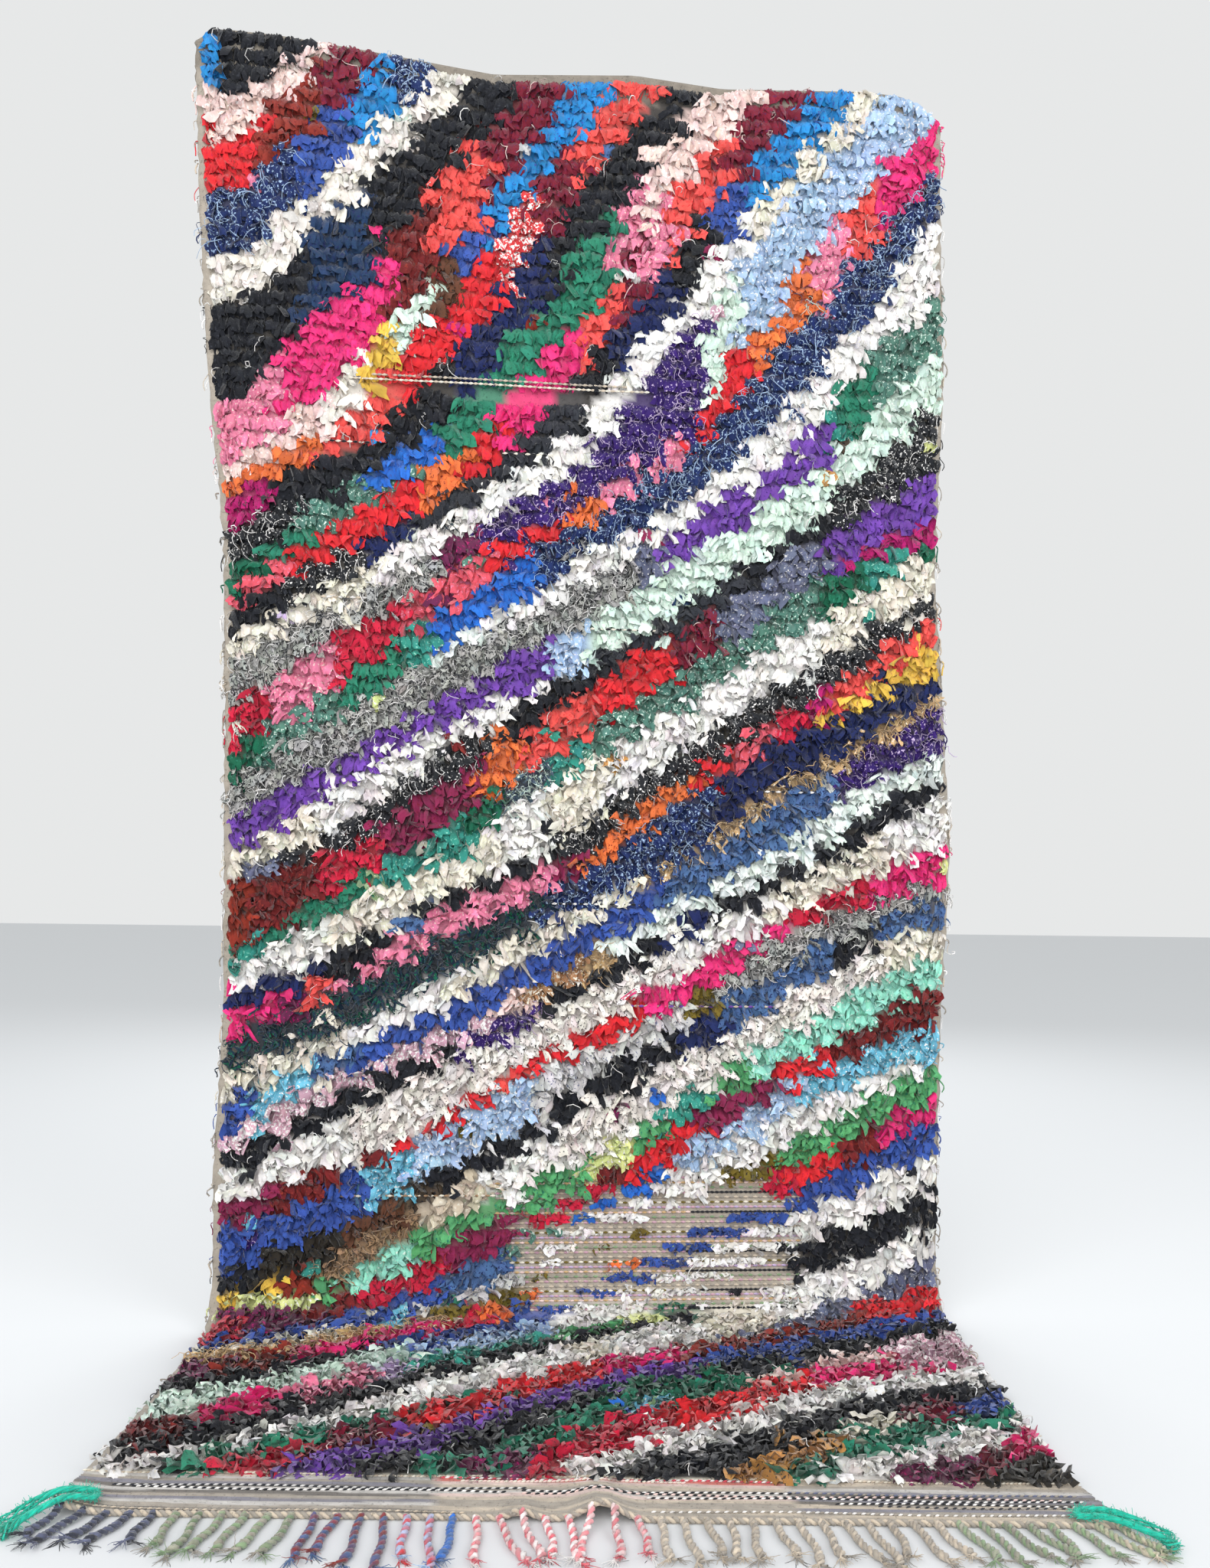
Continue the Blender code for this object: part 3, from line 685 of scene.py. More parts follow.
def knot_rows():
    """Path and place across of every knot, row by row."""
    total = HANGING_KNOT_ROWS + BEND_KNOT_ROWS + LYING_KNOT_ROWS
    across = (np.arange(KNOTS_A_ROW) + 0.5) / KNOTS_A_ROW
    across = across + rng.normal(0, 0.16 / KNOTS_A_ROW, (total, KNOTS_A_ROW))
    across = np.clip(across, 0.014, 0.990)
    number = np.arange(total)[:, None]
    down_hanging = (number + 0.5) / HANGING_KNOT_ROWS
    top_x = hanging_x(TOP_LEVEL, across)
    in_strip = np.clip(1.0 - (np.abs(top_x - PLAIN_STRIP[0]) - PLAIN_STRIP[1]) / 0.04, 0.0, 1.0)
    rags_from = top_height(across) + 0.006 - PLAIN_STRIP[2] * in_strip
    hanging = (BEND_RADIUS - rags_from) * (1 - down_hanging)
    bend = (number - HANGING_KNOT_ROWS + 0.5) / BEND_KNOT_ROWS * BEND_PATH
    run = lying_run(across) - BAND
    lying_share = (number - HANGING_KNOT_ROWS - BEND_KNOT_ROWS + 0.45) / LYING_KNOT_ROWS
    lying = BEND_PATH + run * lying_share
    path = np.where(number < HANGING_KNOT_ROWS, hanging, bend)
    path = np.where(number < HANGING_KNOT_ROWS + BEND_KNOT_ROWS, path, lying)
    row = np.broadcast_to(number, path.shape)
    return path, across, row


def knots():
    """Every knot that is left: path, across, row, place, out, down, height and colour."""
    path, across, row = (part.ravel() for part in knot_rows())
    place, out, down, height = cloth(path, across)
    x = place[:, 0]
    row_shift = rng.normal(0, 0.010, HANGING_KNOT_ROWS + BEND_KNOT_ROWS + LYING_KNOT_ROWS)
    colour = stripe_colour(x + row_shift[row] + rng.normal(0, 0.003, x.size), height)
    odd = rng.random(x.size) < 0.018
    near = stripe_colour(x, height + rng.choice([-0.045, 0.045], x.size))
    colour = np.where(odd, near, colour)
    stray = rng.random(x.size) < 0.006
    colour = np.where(stray, rng.integers(0, len(COLOUR_NAMES) - 1, x.size), colour)
    thinned = 0.0
    for line, start, end, share in THIN_LINES:
        close = np.abs(height - line) < 0.0125
        thinned = np.maximum(thinned, share * (close & (x > start) & (x < end)))
    bare = bare_share(x, height)
    # strong rags that still cross the worn patch
    crossing = ("royal", "blue", "denim", "white", "crimson", "red", "green", "leaf")
    keeps_rags = np.isin(colour, [COLOUR_NAMES.index(name) for name in crossing])
    thinned = np.maximum(thinned, np.where(keeps_rags, 0.05, 0.86) * bare)
    kept = rng.random(x.size) > thinned
    fields = (path, across, row, place, out, down, height, colour)
    return [field[kept] for field in fields]


KNOTS = knots()


ALONG = np.linspace(0.0, 1.0, 5)
ACROSS = np.array([-1.0, -0.34, 0.34, 1.0])


def flaps():
    """Every rag end as a small pleated, crumpled leaf: points, colours, marks, traits and rows."""
    path, across, row, place, out, down, height, colour = (
        np.repeat(field, FLAPS_A_KNOT, 0) for field in KNOTS
    )
    count = len(path)
    turn = np.tile(np.arange(FLAPS_A_KNOT) - 1.0, count // FLAPS_A_KNOT)
    yarn, satin = IS_YARN[colour], IS_SATIN[colour]
    lower = np.clip((1.75 - height) / 0.8, 0.0, 1.0)  # from neat rows to loose points
    floor = (path > BEND_PATH * 0.6).astype(float)
    thick = pile_at(place[:, 0], path)
    reach = np.where(bare_share(place[:, 0], height) > 0.3, thick - WEAVE, np.maximum(thick - WEAVE, 0.017))
    inward = np.where(across < 0.030, 1.0, np.where(across > 0.970, -1.0, 0.0))
    base_side = turn * 0.0045 + rng.normal(0, 0.0014, count)
    base_down = rng.normal(0, 0.0020, count) - 0.003
    length = reach * rng.normal(1.46 + 0.16 * lower, 0.20, count).clip(1.0, 2.2)
    first_lean = rng.normal(34, 14, count) * (1 - lower) + rng.normal(30, 26, count) * lower
    bend = rng.normal(78, 12, count) * (1 - lower) + rng.normal(50, 26, count) * lower
    first_lean = np.where(floor > 0, rng.normal(30, 24, count), first_lean)
    bend = np.where(floor > 0, rng.normal(46, 24, count), bend)
    lean = np.radians(first_lean[:, None] + bend[:, None] * ALONG**1.2)
    steps = np.diff(ALONG, prepend=0.0)
    goes_out = np.cumsum(np.cos(lean) * steps, 1) * length[:, None]
    goes_down = np.cumsum(np.sin(lean) * steps, 1) * length[:, None]
    over = np.maximum(goes_out - reach[:, None], 0.0)
    goes_out = np.maximum(goes_out - 0.85 * over, 0.0015)
    aside = (turn * 0.22 + rng.normal(0, 0.16 + 0.10 * lower, count)) * length
    aside = np.where(inward != 0, inward * np.abs(aside) * 0.7, aside)
    curl = rng.normal(0, 0.0030, count) * np.where(yarn, 2.6, 1.0)
    wiggle = np.sin(ALONG * rng.uniform(3, 7, count)[:, None])
    sideways = aside[:, None] * ALONG**1.4 + curl[:, None] * wiggle
    twist = rng.normal(0, 0.24 + 0.22 * lower, count)[:, None]
    twist = twist + rng.normal(0, 0.40, count)[:, None] * ALONG
    widest = np.where(yarn, rng.uniform(0.0050, 0.0085, count), rng.uniform(0.0150, 0.0235, count))
    widest = np.where(floor > 0, widest * 1.15, widest)
    pointed = rng.beta(1.2, 1.8, count) * (0.35 + 0.50 * lower)
    opening = np.minimum(1.0, 0.30 + 1.5 * ALONG)
    closing = 1.0 - pointed[:, None] * np.clip((ALONG - 0.45) / 0.55, 0, 1) ** 1.3
    widest = np.where(inward != 0, widest * 0.75, widest)
    width = widest[:, None] * opening * closing
    fold = np.where(yarn, 0.0012, rng.uniform(0.0016, 0.0042, count))[:, None] * (0.45 + 0.75 * ALONG)
    pleat = np.where(rng.random(count) < 0.5, 1.0, -1.0)[:, None] * np.array([0.6, -1.0, 1.0, -0.6])
    cut = rng.uniform(0.0, 0.5, count) * np.where(rng.random(count) < 0.5, 1.0, -1.0)
    column_length = 1.0 - np.abs(cut)[:, None] / 2 + cut[:, None] / 2 * ACROSS
    right = np.array([1.0, 0.0, 0.0])
    along_cloth = -np.sin(lean)[..., None] * out[:, None] + np.cos(lean)[..., None] * down[:, None]
    wide_way = np.cos(twist)[..., None] * right + np.sin(twist)[..., None] * along_cloth
    fold_way = -np.sin(twist)[..., None] * right + np.cos(twist)[..., None] * along_cloth
    root = place + out * (WEAVE * 0.7) + down * base_down[:, None] + right * base_side[:, None]
    spine = out[:, None] * goes_out[..., None] + down[:, None] * goes_down[..., None]
    spine = spine + right * sideways[..., None]
    points = root[:, None, None] + spine[:, :, None] * column_length[:, None, :, None]
    points = points + wide_way[:, :, None] * (width[..., None] / 2 * ACROSS)[..., None]
    points = points + fold_way[:, :, None] * (fold[:, :, None] * pleat[:, None])[..., None]
    points = points + rng.normal(0, 0.0010, points.shape) * (0.4 + ALONG)[:, None, None]
    points[..., 2] = np.maximum(points[..., 2], 0.0015)

    knot_light = np.repeat(rng.normal(1.0, 0.10, count // FLAPS_A_KNOT), FLAPS_A_KNOT)
    light = (knot_light * rng.normal(1.0, 0.06, count)).clip(0.6, 1.3)
    base = RAG_COLOURS[colour] * light[:, None] * rng.normal(1.0, 0.025, (count, 3))
    # painted shade: each rag's colour is darker towards its root, where the pile around it shades it
    shade = 0.86 + 0.14 * np.minimum(1.0, ALONG * 1.7)
    colours = np.broadcast_to(base[:, None, None] * shade[:, None, None], points.shape).clip(0, 0.9)
    marks = np.broadcast_to(MARK_COLOURS[colour][:, None, None], points.shape)
    share = MARK_SHARES[colour] * rng.uniform(0.5, 1.4, count)
    traits = np.stack([share, satin * 1.0, yarn * 1.0], -1)
    traits = np.broadcast_to(traits[:, None, None], points.shape)
    return points, colours, marks, traits, row


def atlas(count, rows, columns):
    """A cell of the map for each equal grid."""
    side = math.ceil(math.sqrt(count))
    cell = np.arange(count)
    u = (cell % side)[:, None, None] + 0.12 + 0.76 * np.linspace(0, 1, columns)[None, None, :]
    v = (cell // side)[:, None, None] + 0.12 + 0.76 * np.linspace(0, 1, rows)[None, :, None]
    return np.stack(np.broadcast_arrays(u, v), -1) / side


def add_pile(material):
    points, colours, marks, traits, row = flaps()
    total = HANGING_KNOT_ROWS + BEND_KNOT_ROWS + LYING_KNOT_ROWS
    pieces = []
    for number, first in enumerate(range(0, total, ROWS_A_PIECE)):
        mine = (row >= first) & (row < first + ROWS_A_PIECE)
        count = int(mine.sum())
        pieces.append(
            new_piece(
                f"pile_{number + 1:02d}",
                place_in_world(points[mine]),
                grid_faces(count, len(ALONG), len(ACROSS)),
                material,
                colours[mine],
                marks[mine],
                traits[mine],
                atlas(count, len(ALONG), len(ACROSS)),
            )
        )
    return pieces


WORN_ROWS = (  # colours of the flat rows in the worn patch, from the top, over and over
    ("beige", "taupe"),
    ("cream", "olive"),
    ("lilac", "mauve"),
    ("blush", "camel"),
    ("taupe", "sage"),
    ("beige", "mauve"),
)


WEAVE_LINES = (  # height, from x, to x, colour, colour
    (1.652, -0.46, 0.06, "cream", "beige"),
    (1.660, -0.42, 0.02, "beige", "taupe"),
    (1.540, -0.50, -0.43, "cream", "black"),
    (1.532, -0.19, -0.11, "cream", "black"),
    (1.268, -0.50, -0.42, "beige", "white"),
    (1.228, -0.03, 0.11, "cream", "black"),
    (0.946, 0.27, 0.37, "white", "charcoal"),
    (0.740, -0.09, 0.06, "white", "black"),
    (0.560, 0.05, 0.31, "purple", "beige"),
    (0.225, -0.46, -0.19, "cream", "tan"),
)


def line_stitches():
    """Weft that shows above the pile's foot in a few lines between the rows."""
    middles, ways, names = [], [], []
    for height, start, end, first, second in WEAVE_LINES:
        count = int((end - start) / LINE_STITCH)
        left, right = hanging_x(height, 0.0), hanging_x(height, 1.0)
        across = (np.linspace(start, end, count) - left) / (right - left)
        place, out, _, _ = cloth(np.full(count, BEND_RADIUS - height), across)
        middles.append(place + out * (WEAVE + 0.013))
        ways.append(np.tile([1.0, 0.0, 0.06], (count, 1)))
        pair = np.array([COLOUR_NAMES.index(first), COLOUR_NAMES.index(second)])
        names.append(pair[np.arange(count) % 2])
    return middles, ways, names


def worn_stitches():
    """The same for the bare rows of the worn patch, after the lines between the rows."""
    middles, ways, names = line_stitches()
    for number, path in enumerate(np.arange(-0.180, 0.130, WORN_STITCH)):
        across = np.linspace(0.20, 0.93, int(0.96 / WORN_STITCH))
        place, out, _, height = cloth(np.full(across.shape, path), across)
        x = place[:, 0]
        inside = bare_share(x, height) + rng.normal(0, 0.05, x.shape) > 0.10
        place = place + out * (WEAVE + 0.0008)
        pair = WORN_ROWS[number % len(WORN_ROWS)]
        pick = np.array([COLOUR_NAMES.index(name) for name in pair])[np.arange(len(x)) % 2]
        dashes = (x > 0.16) & (number % 4 == 1)
        pick = np.where(dashes, COLOUR_NAMES.index("black"), pick)
        dotted = (np.abs(BEND_RADIUS - path - 0.250) < 0.0045) & (np.arange(len(x)) % 2 == 0)
        pick = np.where(dotted, COLOUR_NAMES.index("black"), pick)
        middles.append(place[inside])
        ways.append(np.tile([1.0, 0.0, 0.0], (int(inside.sum()), 1)))
        names.append(pick[inside])
    return np.concatenate(middles), np.concatenate(ways), np.concatenate(names)


def add_stitches(name, found, half_length, radius, material):
    middles, ways, names = found
    points, colours, count = stitches(middles, ways, half_length, radius, names)
    colours = colours * rng.normal(1.0, 0.07, (len(colours), 1))
    traits = np.zeros_like(colours) + [0.05, 0.0, 0.0]
    piece = new_piece(
        name,
        place_in_world(points),
        grid_faces(count, 3, STITCH_SIDES, True),
        material,
        colours.clip(0, 0.9),
        colours * 0.6,
        traits,
        atlas(count, 3, STITCH_SIDES),
    )
    return piece


BAND_ROWS = (  # up to this share of the band's depth: colour at the left, in the middle, at the right
    (0.06, "cream", "cream", "beige"),
    (0.13, "grey_white", "coral", "beige"),
    (0.20, "taupe", "blush", "taupe"),
    (0.28, "slate", "beige", "grey_white"),
    (0.36, "charcoal", "taupe", "slate"),
    (0.44, "grey_white", "grey_white", "charcoal"),
    (0.52, "charcoal", "blush", "slate"),
    (0.60, "taupe", "beige", "black"),
    (0.68, "slate", "taupe", "beige"),
    (0.76, "grey_white", "taupe", "slate"),
    (0.84, "taupe", "beige", "taupe"),
    (0.92, "charcoal", "taupe", "beige"),
    (1.01, "taupe", "beige", "taupe"),
)


def band_colours(share, across):
    """Colour of the band's yarn at a share of its depth."""
    names = np.array([[COLOUR_NAMES.index(word) for word in row[1:]] for row in BAND_ROWS])
    wander = 0.020 * np.sin(across * 23 + share * 9)
    line = np.searchsorted(column(BAND_ROWS, 0).astype(float), (share + wander).clip(0, 1))
    third = np.searchsorted([0.36, 0.70], across)
    return RAG_COLOURS[names[line, third]]


def ground_colours(points, path, across, is_back):
    """Beige and taupe rows, with the rags' colours showing faintly on the back."""
    x = points[..., 0]
    height = cloth(path, across + 0 * path)[3]
    rag = RAG_COLOURS[stripe_colour(x, height)]
    weft = RAG_COLOURS[COLOUR_NAMES.index("taupe")] * rng.normal(1.0, 0.06, x.shape)[..., None]
    warp = RAG_COLOURS[COLOUR_NAMES.index("beige")]
    bare = bare_share(x, height)
    mostly = rng.random(x.shape) * 0.75 if is_back else 0.85 * (1.0 - bare)
    inner = (across > 0.02) & (across < 0.98)
    has_rags = inner & (path > BARE_PATH) & (path < BEND_PATH + lying_run(across) - BAND)
    share = np.where(has_rags, mostly, 0.0)[..., None]
    mixed = weft * 0.8 + warp * 0.2
    share_of_band = 1.0 - (BEND_PATH + lying_run(across) - path) / BAND
    in_band = (share_of_band > 0)[..., None]
    lines = band_colours(share_of_band.clip(0, 1), across + 0 * path)
    lines = lines * rng.normal(1.0, 0.10, path.shape)[..., None]
    # painted shade: the bare weave above BARE_PATH, at the top where the cloth turns back, is darkened
    mixed = np.where((path < BARE_PATH)[..., None], mixed * 0.60, mixed)
    mixed = np.where(in_band, 0.35 * mixed + 0.65 * lines, mixed)
    return mixed * (1 - share) + rag * share


def add_ground(material):
    across = np.linspace(0.0, 1.0, GROUND_COLUMNS)
    back, front, path = ground_columns(across)
    long, wide = path.shape
    fray = rng.normal(0, 0.0012, path.shape)
    for sheet in (back, front):
        sheet[:, 0, 0] += fray[:, 0]
        sheet[:, -1, 0] += fray[:, -1]
    ripple = 0.0009 * np.sin(np.arange(long) * 2.2)[:, None]
    front[..., 1] -= np.where(path < 0, ripple, 0)
    points = np.stack([front, back])
    faces_front = grid_faces(1, long, wide)
    faces_back = grid_faces(1, long, wide)[:, ::-1] + long * wide
    rim = np.concatenate(
        [
            np.arange(wide),
            np.arange(1, long) * wide + wide - 1,
            (long - 1) * wide + np.arange(wide - 2, -1, -1),
            np.arange(long - 2, -1, -1) * wide,
        ]
    )
    start, after = rim[:-1], rim[1:]
    faces_rim = np.stack([after, start, start + long * wide, after + long * wide], 1)
    colours = np.stack(
        [ground_colours(front, path, across[None], False), ground_colours(back, path, across[None], True)]
    )
    piece = new_piece(
        "ground_weave",
        place_in_world(points),
        np.concatenate([faces_front, faces_back, faces_rim]),
        material,
        colours,
        colours * 0.7,
        np.zeros_like(colours) + [0.08, 0, 0],
    )
    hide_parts("rug")
    return piece


# ---------------------------------------------------------------- fringe
TASSELS = 47
TASSEL_LEAN = (  # share along the edge, reach, sideways reach
    (0.00, 0.060, -0.032),
    (0.08, 0.070, -0.040),
    (0.16, 0.088, -0.026),
    (0.30, 0.105, -0.010),
    (0.42, 0.100, 0.016),
    (0.52, 0.095, 0.004),
    (0.75, 0.092, 0.002),
    (0.90, 0.082, 0.022),
    (1.00, 0.075, 0.030),
)
TASSEL_COLOURS = (  # up to this share along the edge, first strand, second strand
    (0.115, "charcoal", "slate"),
    (0.235, "sage", "taupe"),
    (0.315, "brick", "denim"),
    (0.355, "red_print", "light_blue"),
    (0.380, "denim", "blue"),
    (0.545, "rose", "white"),
    (0.840, "beige", "taupe"),
    (0.950, "sage", "taupe"),
    (1.001, "beige", "sage"),
)
STRAND_STEPS = 26
STRAND_SIDES = 6


def tassel_routes():
    """Two strands for each tassel, twisted round each other down to a knot, then open."""
    number = np.arange(TASSELS)
    along = (number + 0.5) / TASSELS
    x, y = lying_x(1.0, along), -BEND_RADIUS - lying_run(along)
    z = lift(x, 0.0)
    change = 1.0 + 0.10 * np.sin(2.4 * number)
    reach = look_up(TASSEL_LEAN, along, 1) * change * rng.uniform(0.95, 1.22, TASSELS)
    aside = look_up(TASSEL_LEAN, along, 2) * change + rng.normal(0, 0.009, TASSELS)
    share = np.linspace(0.0, 1.0, STRAND_STEPS)
    px = x[:, None] + aside[:, None] * share**1.3
    px = px + 0.0045 * share * np.sin(7.0 * share + 1.7 * number[:, None])
    py = y[:, None] - 0.001 - reach[:, None] * share
    still_up = np.maximum(0.0, 1.0 - share / 0.6) ** 1.5
    pz = 0.0054 + z[:, None] * still_up
    centre = np.stack([px, py, pz], -1)
    turn = 2 * math.pi * (5.5 * share) + number[:, None]
    opened = np.clip((share - 0.86) / 0.14, 0, 1)
    apart = 0.0027 + 0.0040 * opened
    offset = np.stack([np.cos(turn) * apart, 0 * turn, np.sin(turn) * np.minimum(apart, 0.0023)], -1)
    routes = np.stack([centre + offset, centre - offset], 1).reshape(-1, STRAND_STEPS, 3)
    swell = 1.0 + 0.55 * np.exp(-(((share - 0.82) / 0.045) ** 2))
    radii = 0.0029 * swell * (1 - 0.60 * opened)
    return routes, np.broadcast_to(radii, (2 * TASSELS, STRAND_STEPS)), along


def fringe_colours(along):
    """Numbers of the colours of each tassel's two strands, strand by strand."""
    names = np.zeros((len(along), 2), int)
    start = 0.0
    for end, first, second in TASSEL_COLOURS:
        mine = (along >= start) & (along < end)
        names[mine] = COLOUR_NAMES.index(first), COLOUR_NAMES.index(second)
        start = end
    return names.ravel()


def add_fringe(material):
    routes, radii, along = tassel_routes()
    names = fringe_colours(along)
    points = tubes(routes, radii, STRAND_SIDES)
    light = rng.normal(1.0, 0.09, (len(names), 1, 1, 1))
    ply = 1.0 + 0.16 * np.sin(np.arange(STRAND_STEPS) * 2.4)[:, None, None]
    other = names.reshape(-1, 2)[:, ::-1].ravel()
    mixing = rng.uniform(0.0, 0.45, (len(names), STRAND_STEPS))[..., None, None]
    tint = RAG_COLOURS[names][:, None, None] * (1 - mixing) + RAG_COLOURS[other][:, None, None] * mixing
    colours = (tint * light * ply + 0 * points).clip(0, 0.9)
    faces = grid_faces(len(routes), STRAND_STEPS, STRAND_SIDES, True)
    blocks = [(points.reshape(-1, 3), colours.reshape(-1, 3), faces)]
    blocks.append(frayed_ends(routes, names))
    blocks.append(edge_rope())
    return join_blocks("fringe_twists", blocks, material, ["fringe"])


def join_blocks(name, blocks, material, replaced=()):
    """One piece from blocks of points, colours and faces."""
    points = np.concatenate([block[0] for block in blocks])
    colours = np.concatenate([block[1] for block in blocks])
    starts = np.cumsum([0] + [len(block[0]) for block in blocks[:-1]])
    faces = np.concatenate([block[2] + start for block, start in zip(blocks, starts)])
    points[:, 2] = np.maximum(points[:, 2], 0.0003)
    traits = np.zeros_like(colours) + [0.06, 0.0, 1.0]
    piece = new_piece(name, place_in_world(points), faces, material, colours, colours * 0.65, traits)
    if replaced:
        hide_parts(*replaced)
    return piece


FIBRES = 12
FIBRE_STEPS = 5


def frayed_ends(routes, names):
    """Loose fibres past the knot of every strand."""
    tip = routes[:, -2]
    way = unit(routes[:, -1] - routes[:, -4])
    count = len(routes)
    spread = rng.normal(0, 0.55, (count, FIBRES, 3)) * [1.0, 0.6, 0.15]
    heading = unit(way[:, None] + spread)
    share = np.linspace(0.0, 1.0, FIBRE_STEPS)
    length = rng.uniform(0.008, 0.024, (count, FIBRES, 1, 1))
    line = tip[:, None, None] + heading[:, :, None] * length * share[:, None]
    line = line + rng.normal(0, 0.0008, line.shape) * share[:, None]
    line = line.reshape(-1, FIBRE_STEPS, 3)
    radii = np.broadcast_to(0.0007 * (1.1 - 0.7 * share), line.shape[:2])
    points = tubes(line, radii, 3)
    tint = np.repeat(names, FIBRES)
    colours = (RAG_COLOURS[tint][:, None, None] * 1.05 + 0 * points).clip(0, 0.9)
    return points.reshape(-1, 3), colours.reshape(-1, 3), grid_faces(len(line), FIBRE_STEPS, 3, True)


def edge_rope():
    """The band's outer edge, two yarns twined like a rope."""
    steps, length, one_turn = 520, 1.35, 0.016
    along = np.linspace(0.0, 1.0, steps)
    x, y = lying_x(1.0, along), -BEND_RADIUS - lying_run(along)
    centre = np.stack([x, y + 0.0005, lift(x, 0.0) + 0.0042], -1)
    turn = 2 * math.pi * along * length / one_turn
    offset = np.stack([0 * turn, np.cos(turn), np.sin(turn)], -1) * 0.0021
    routes = np.stack([centre + offset, centre - offset])
    points = tubes(routes, np.full((2, steps), 0.0026), 6)
    names = [COLOUR_NAMES.index("beige"), COLOUR_NAMES.index("taupe")]
    colours = RAG_COLOURS[names][:, None, None] + 0 * points
    return points.reshape(-1, 3), colours.reshape(-1, 3), grid_faces(2, steps, 6, True)


# ---------------------------------------------------------------- ties and loose threads
TIE_COLOUR = linear((0.10, 0.70, 0.60))
LEFT_TIE = (  # x and y from the band's left corner, height off the floor
    (-0.040, -0.062, 0.005),
    (-0.018, -0.036, 0.016),
    (0.020, -0.010, 0.026),
    (0.050, 0.008, 0.018),
    (0.044, 0.026, 0.018),
    (0.002, 0.006, 0.026),
    (-0.050, -0.030, 0.005),
)
RIGHT_TIE = (  # x and y from the band's right corner, height off the floor
    (0.030, -0.060, 0.005),
    (0.012, -0.044, 0.014),
    (-0.030, -0.006, 0.018),
    (-0.060, 0.010, 0.014),
    (-0.052, 0.028, 0.013),
    (-0.010, 0.014, 0.014),
    (0.036, -0.032, 0.005),
)
TIE_PLIES = 5
TIE_STEPS = 70
TIE_FIBRES = 560


def smooth_route(route, count):
    """Catmull-Rom curve through a route's points."""
    places = np.array(route)
    padded = np.vstack([2 * places[0] - places[1], places, 2 * places[-1] - places[-2]])
    at = np.linspace(0.0, len(places) - 1, count)
    i = np.minimum(at.astype(int), len(places) - 2)
    t = (at - i)[:, None]
    p0, p1, p2, p3 = (padded[i + k] for k in range(4))
    bend = 2 * p0 - 5 * p1 + 4 * p2 - p3
    twist = -p0 + 3 * p1 - 3 * p2 + p3
    return 0.5 * (2 * p1 + (p2 - p0) * t + bend * t**2 + twist * t**3)


def add_tie(name, corner, route, material):
    """A tie of plies twined round its route, which spread at both ends."""
    centre = smooth_route(route, TIE_STEPS) + corner
    heading = unit(np.gradient(centre, axis=0))
    side = unit(np.cross(heading, [0.0, 0.0, 1.0]))
    up = np.cross(side, heading)
    share = np.linspace(0.0, 1.0, TIE_STEPS)
    ends = np.clip(np.minimum(share, 1 - share) / 0.16, 0.0, 1.0)
    routes = []
    for ply in range(TIE_PLIES):
        turn = 2 * math.pi * (ply / TIE_PLIES + 4.0 * share)
        apart = (0.0028 + 0.0060 * (1 - ends)) * (1 + 0.15 * np.sin(9 * share + ply))
        offset = np.cos(turn)[:, None] * side + 0.75 * np.sin(turn)[:, None] * up
        routes.append(centre + offset * apart[:, None])
    routes = np.array(routes)
    radii = np.broadcast_to(0.0021 * (0.45 + 0.55 * ends), routes.shape[:2])
    points = tubes(routes, radii, 6)
    twined = (1 + 0.12 * np.sin(np.arange(TIE_STEPS) * 1.9))[:, None, None]
    light = rng.normal(1.0, 0.10, (TIE_PLIES, 1, 1, 1)) * twined
    colours = (TIE_COLOUR * light + 0 * points).clip(0, 0.9)
    blocks = [(points.reshape(-1, 3), colours.reshape(-1, 3), grid_faces(TIE_PLIES, TIE_STEPS, 6, True))]
    blocks.append(tie_fuzz(centre, heading, side, up))
    return join_blocks(name, blocks, material, [name.replace("yarn_", "")])


def tie_fuzz(centre, heading, side, up):
    """Fine fibres along the yarn, thicker at both frayed ends."""
    quarter = TIE_FIBRES // 4
    spot = np.concatenate([rng.integers(0, TIE_STEPS, 2 * quarter), rng.integers(0, 8, quarter)])
    spot = np.concatenate([spot, TIE_STEPS - 1 - rng.integers(0, 8, quarter)])
    angle = rng.uniform(0, 2 * math.pi, len(spot))[:, None]
    outwards = np.cos(angle) * side[spot] + np.sin(angle) * up[spot]
    way = unit(outwards + heading[spot] * rng.normal(0, 1.2, (len(spot), 1)))
    share = np.linspace(0.0, 1.0, 4)
    start = centre[spot] + outwards * 0.003
    line = start[:, None] + way[:, None] * (rng.uniform(0.003, 0.010, (len(spot), 1, 1)) * share[:, None])
    points = tubes(line, np.full(line.shape[:2], 0.0004), 3)
    colours = TIE_COLOUR * 1.1 + 0 * points
    return points.reshape(-1, 3), colours.reshape(-1, 3), grid_faces(len(line), 4, 3, True)


FLECK_THREADS = (  # on the rags of this colour, threads a knot, their colour
    ("navy_fleck", 1.3, "light_blue"),
    ("indigo", 1.0, "lilac"),
    ("black_fleck", 0.9, "white"),
    ("grey_marl", 1.6, "charcoal"),
    ("grey_marl", 2.2, "white"),
    ("slate_yarn", 3.0, "mint"),
    ("slate_yarn", 2.0, "navy"),
    ("navy_green", 2.6, "navy_green"),
    ("camel", 3.2, "camel"),
    ("tan", 2.8, "tan"),
    ("white", 0.20, "white"),
    ("cream", 0.20, "white"),
    ("black", 0.08, "white"),
    ("specked", 0.3, "white"),
    ("burgundy", 0.2, "blush"),
    ("coral", 0.1, "white"),
)
SIDE_THREADS = 260
THREAD_STEPS = 7


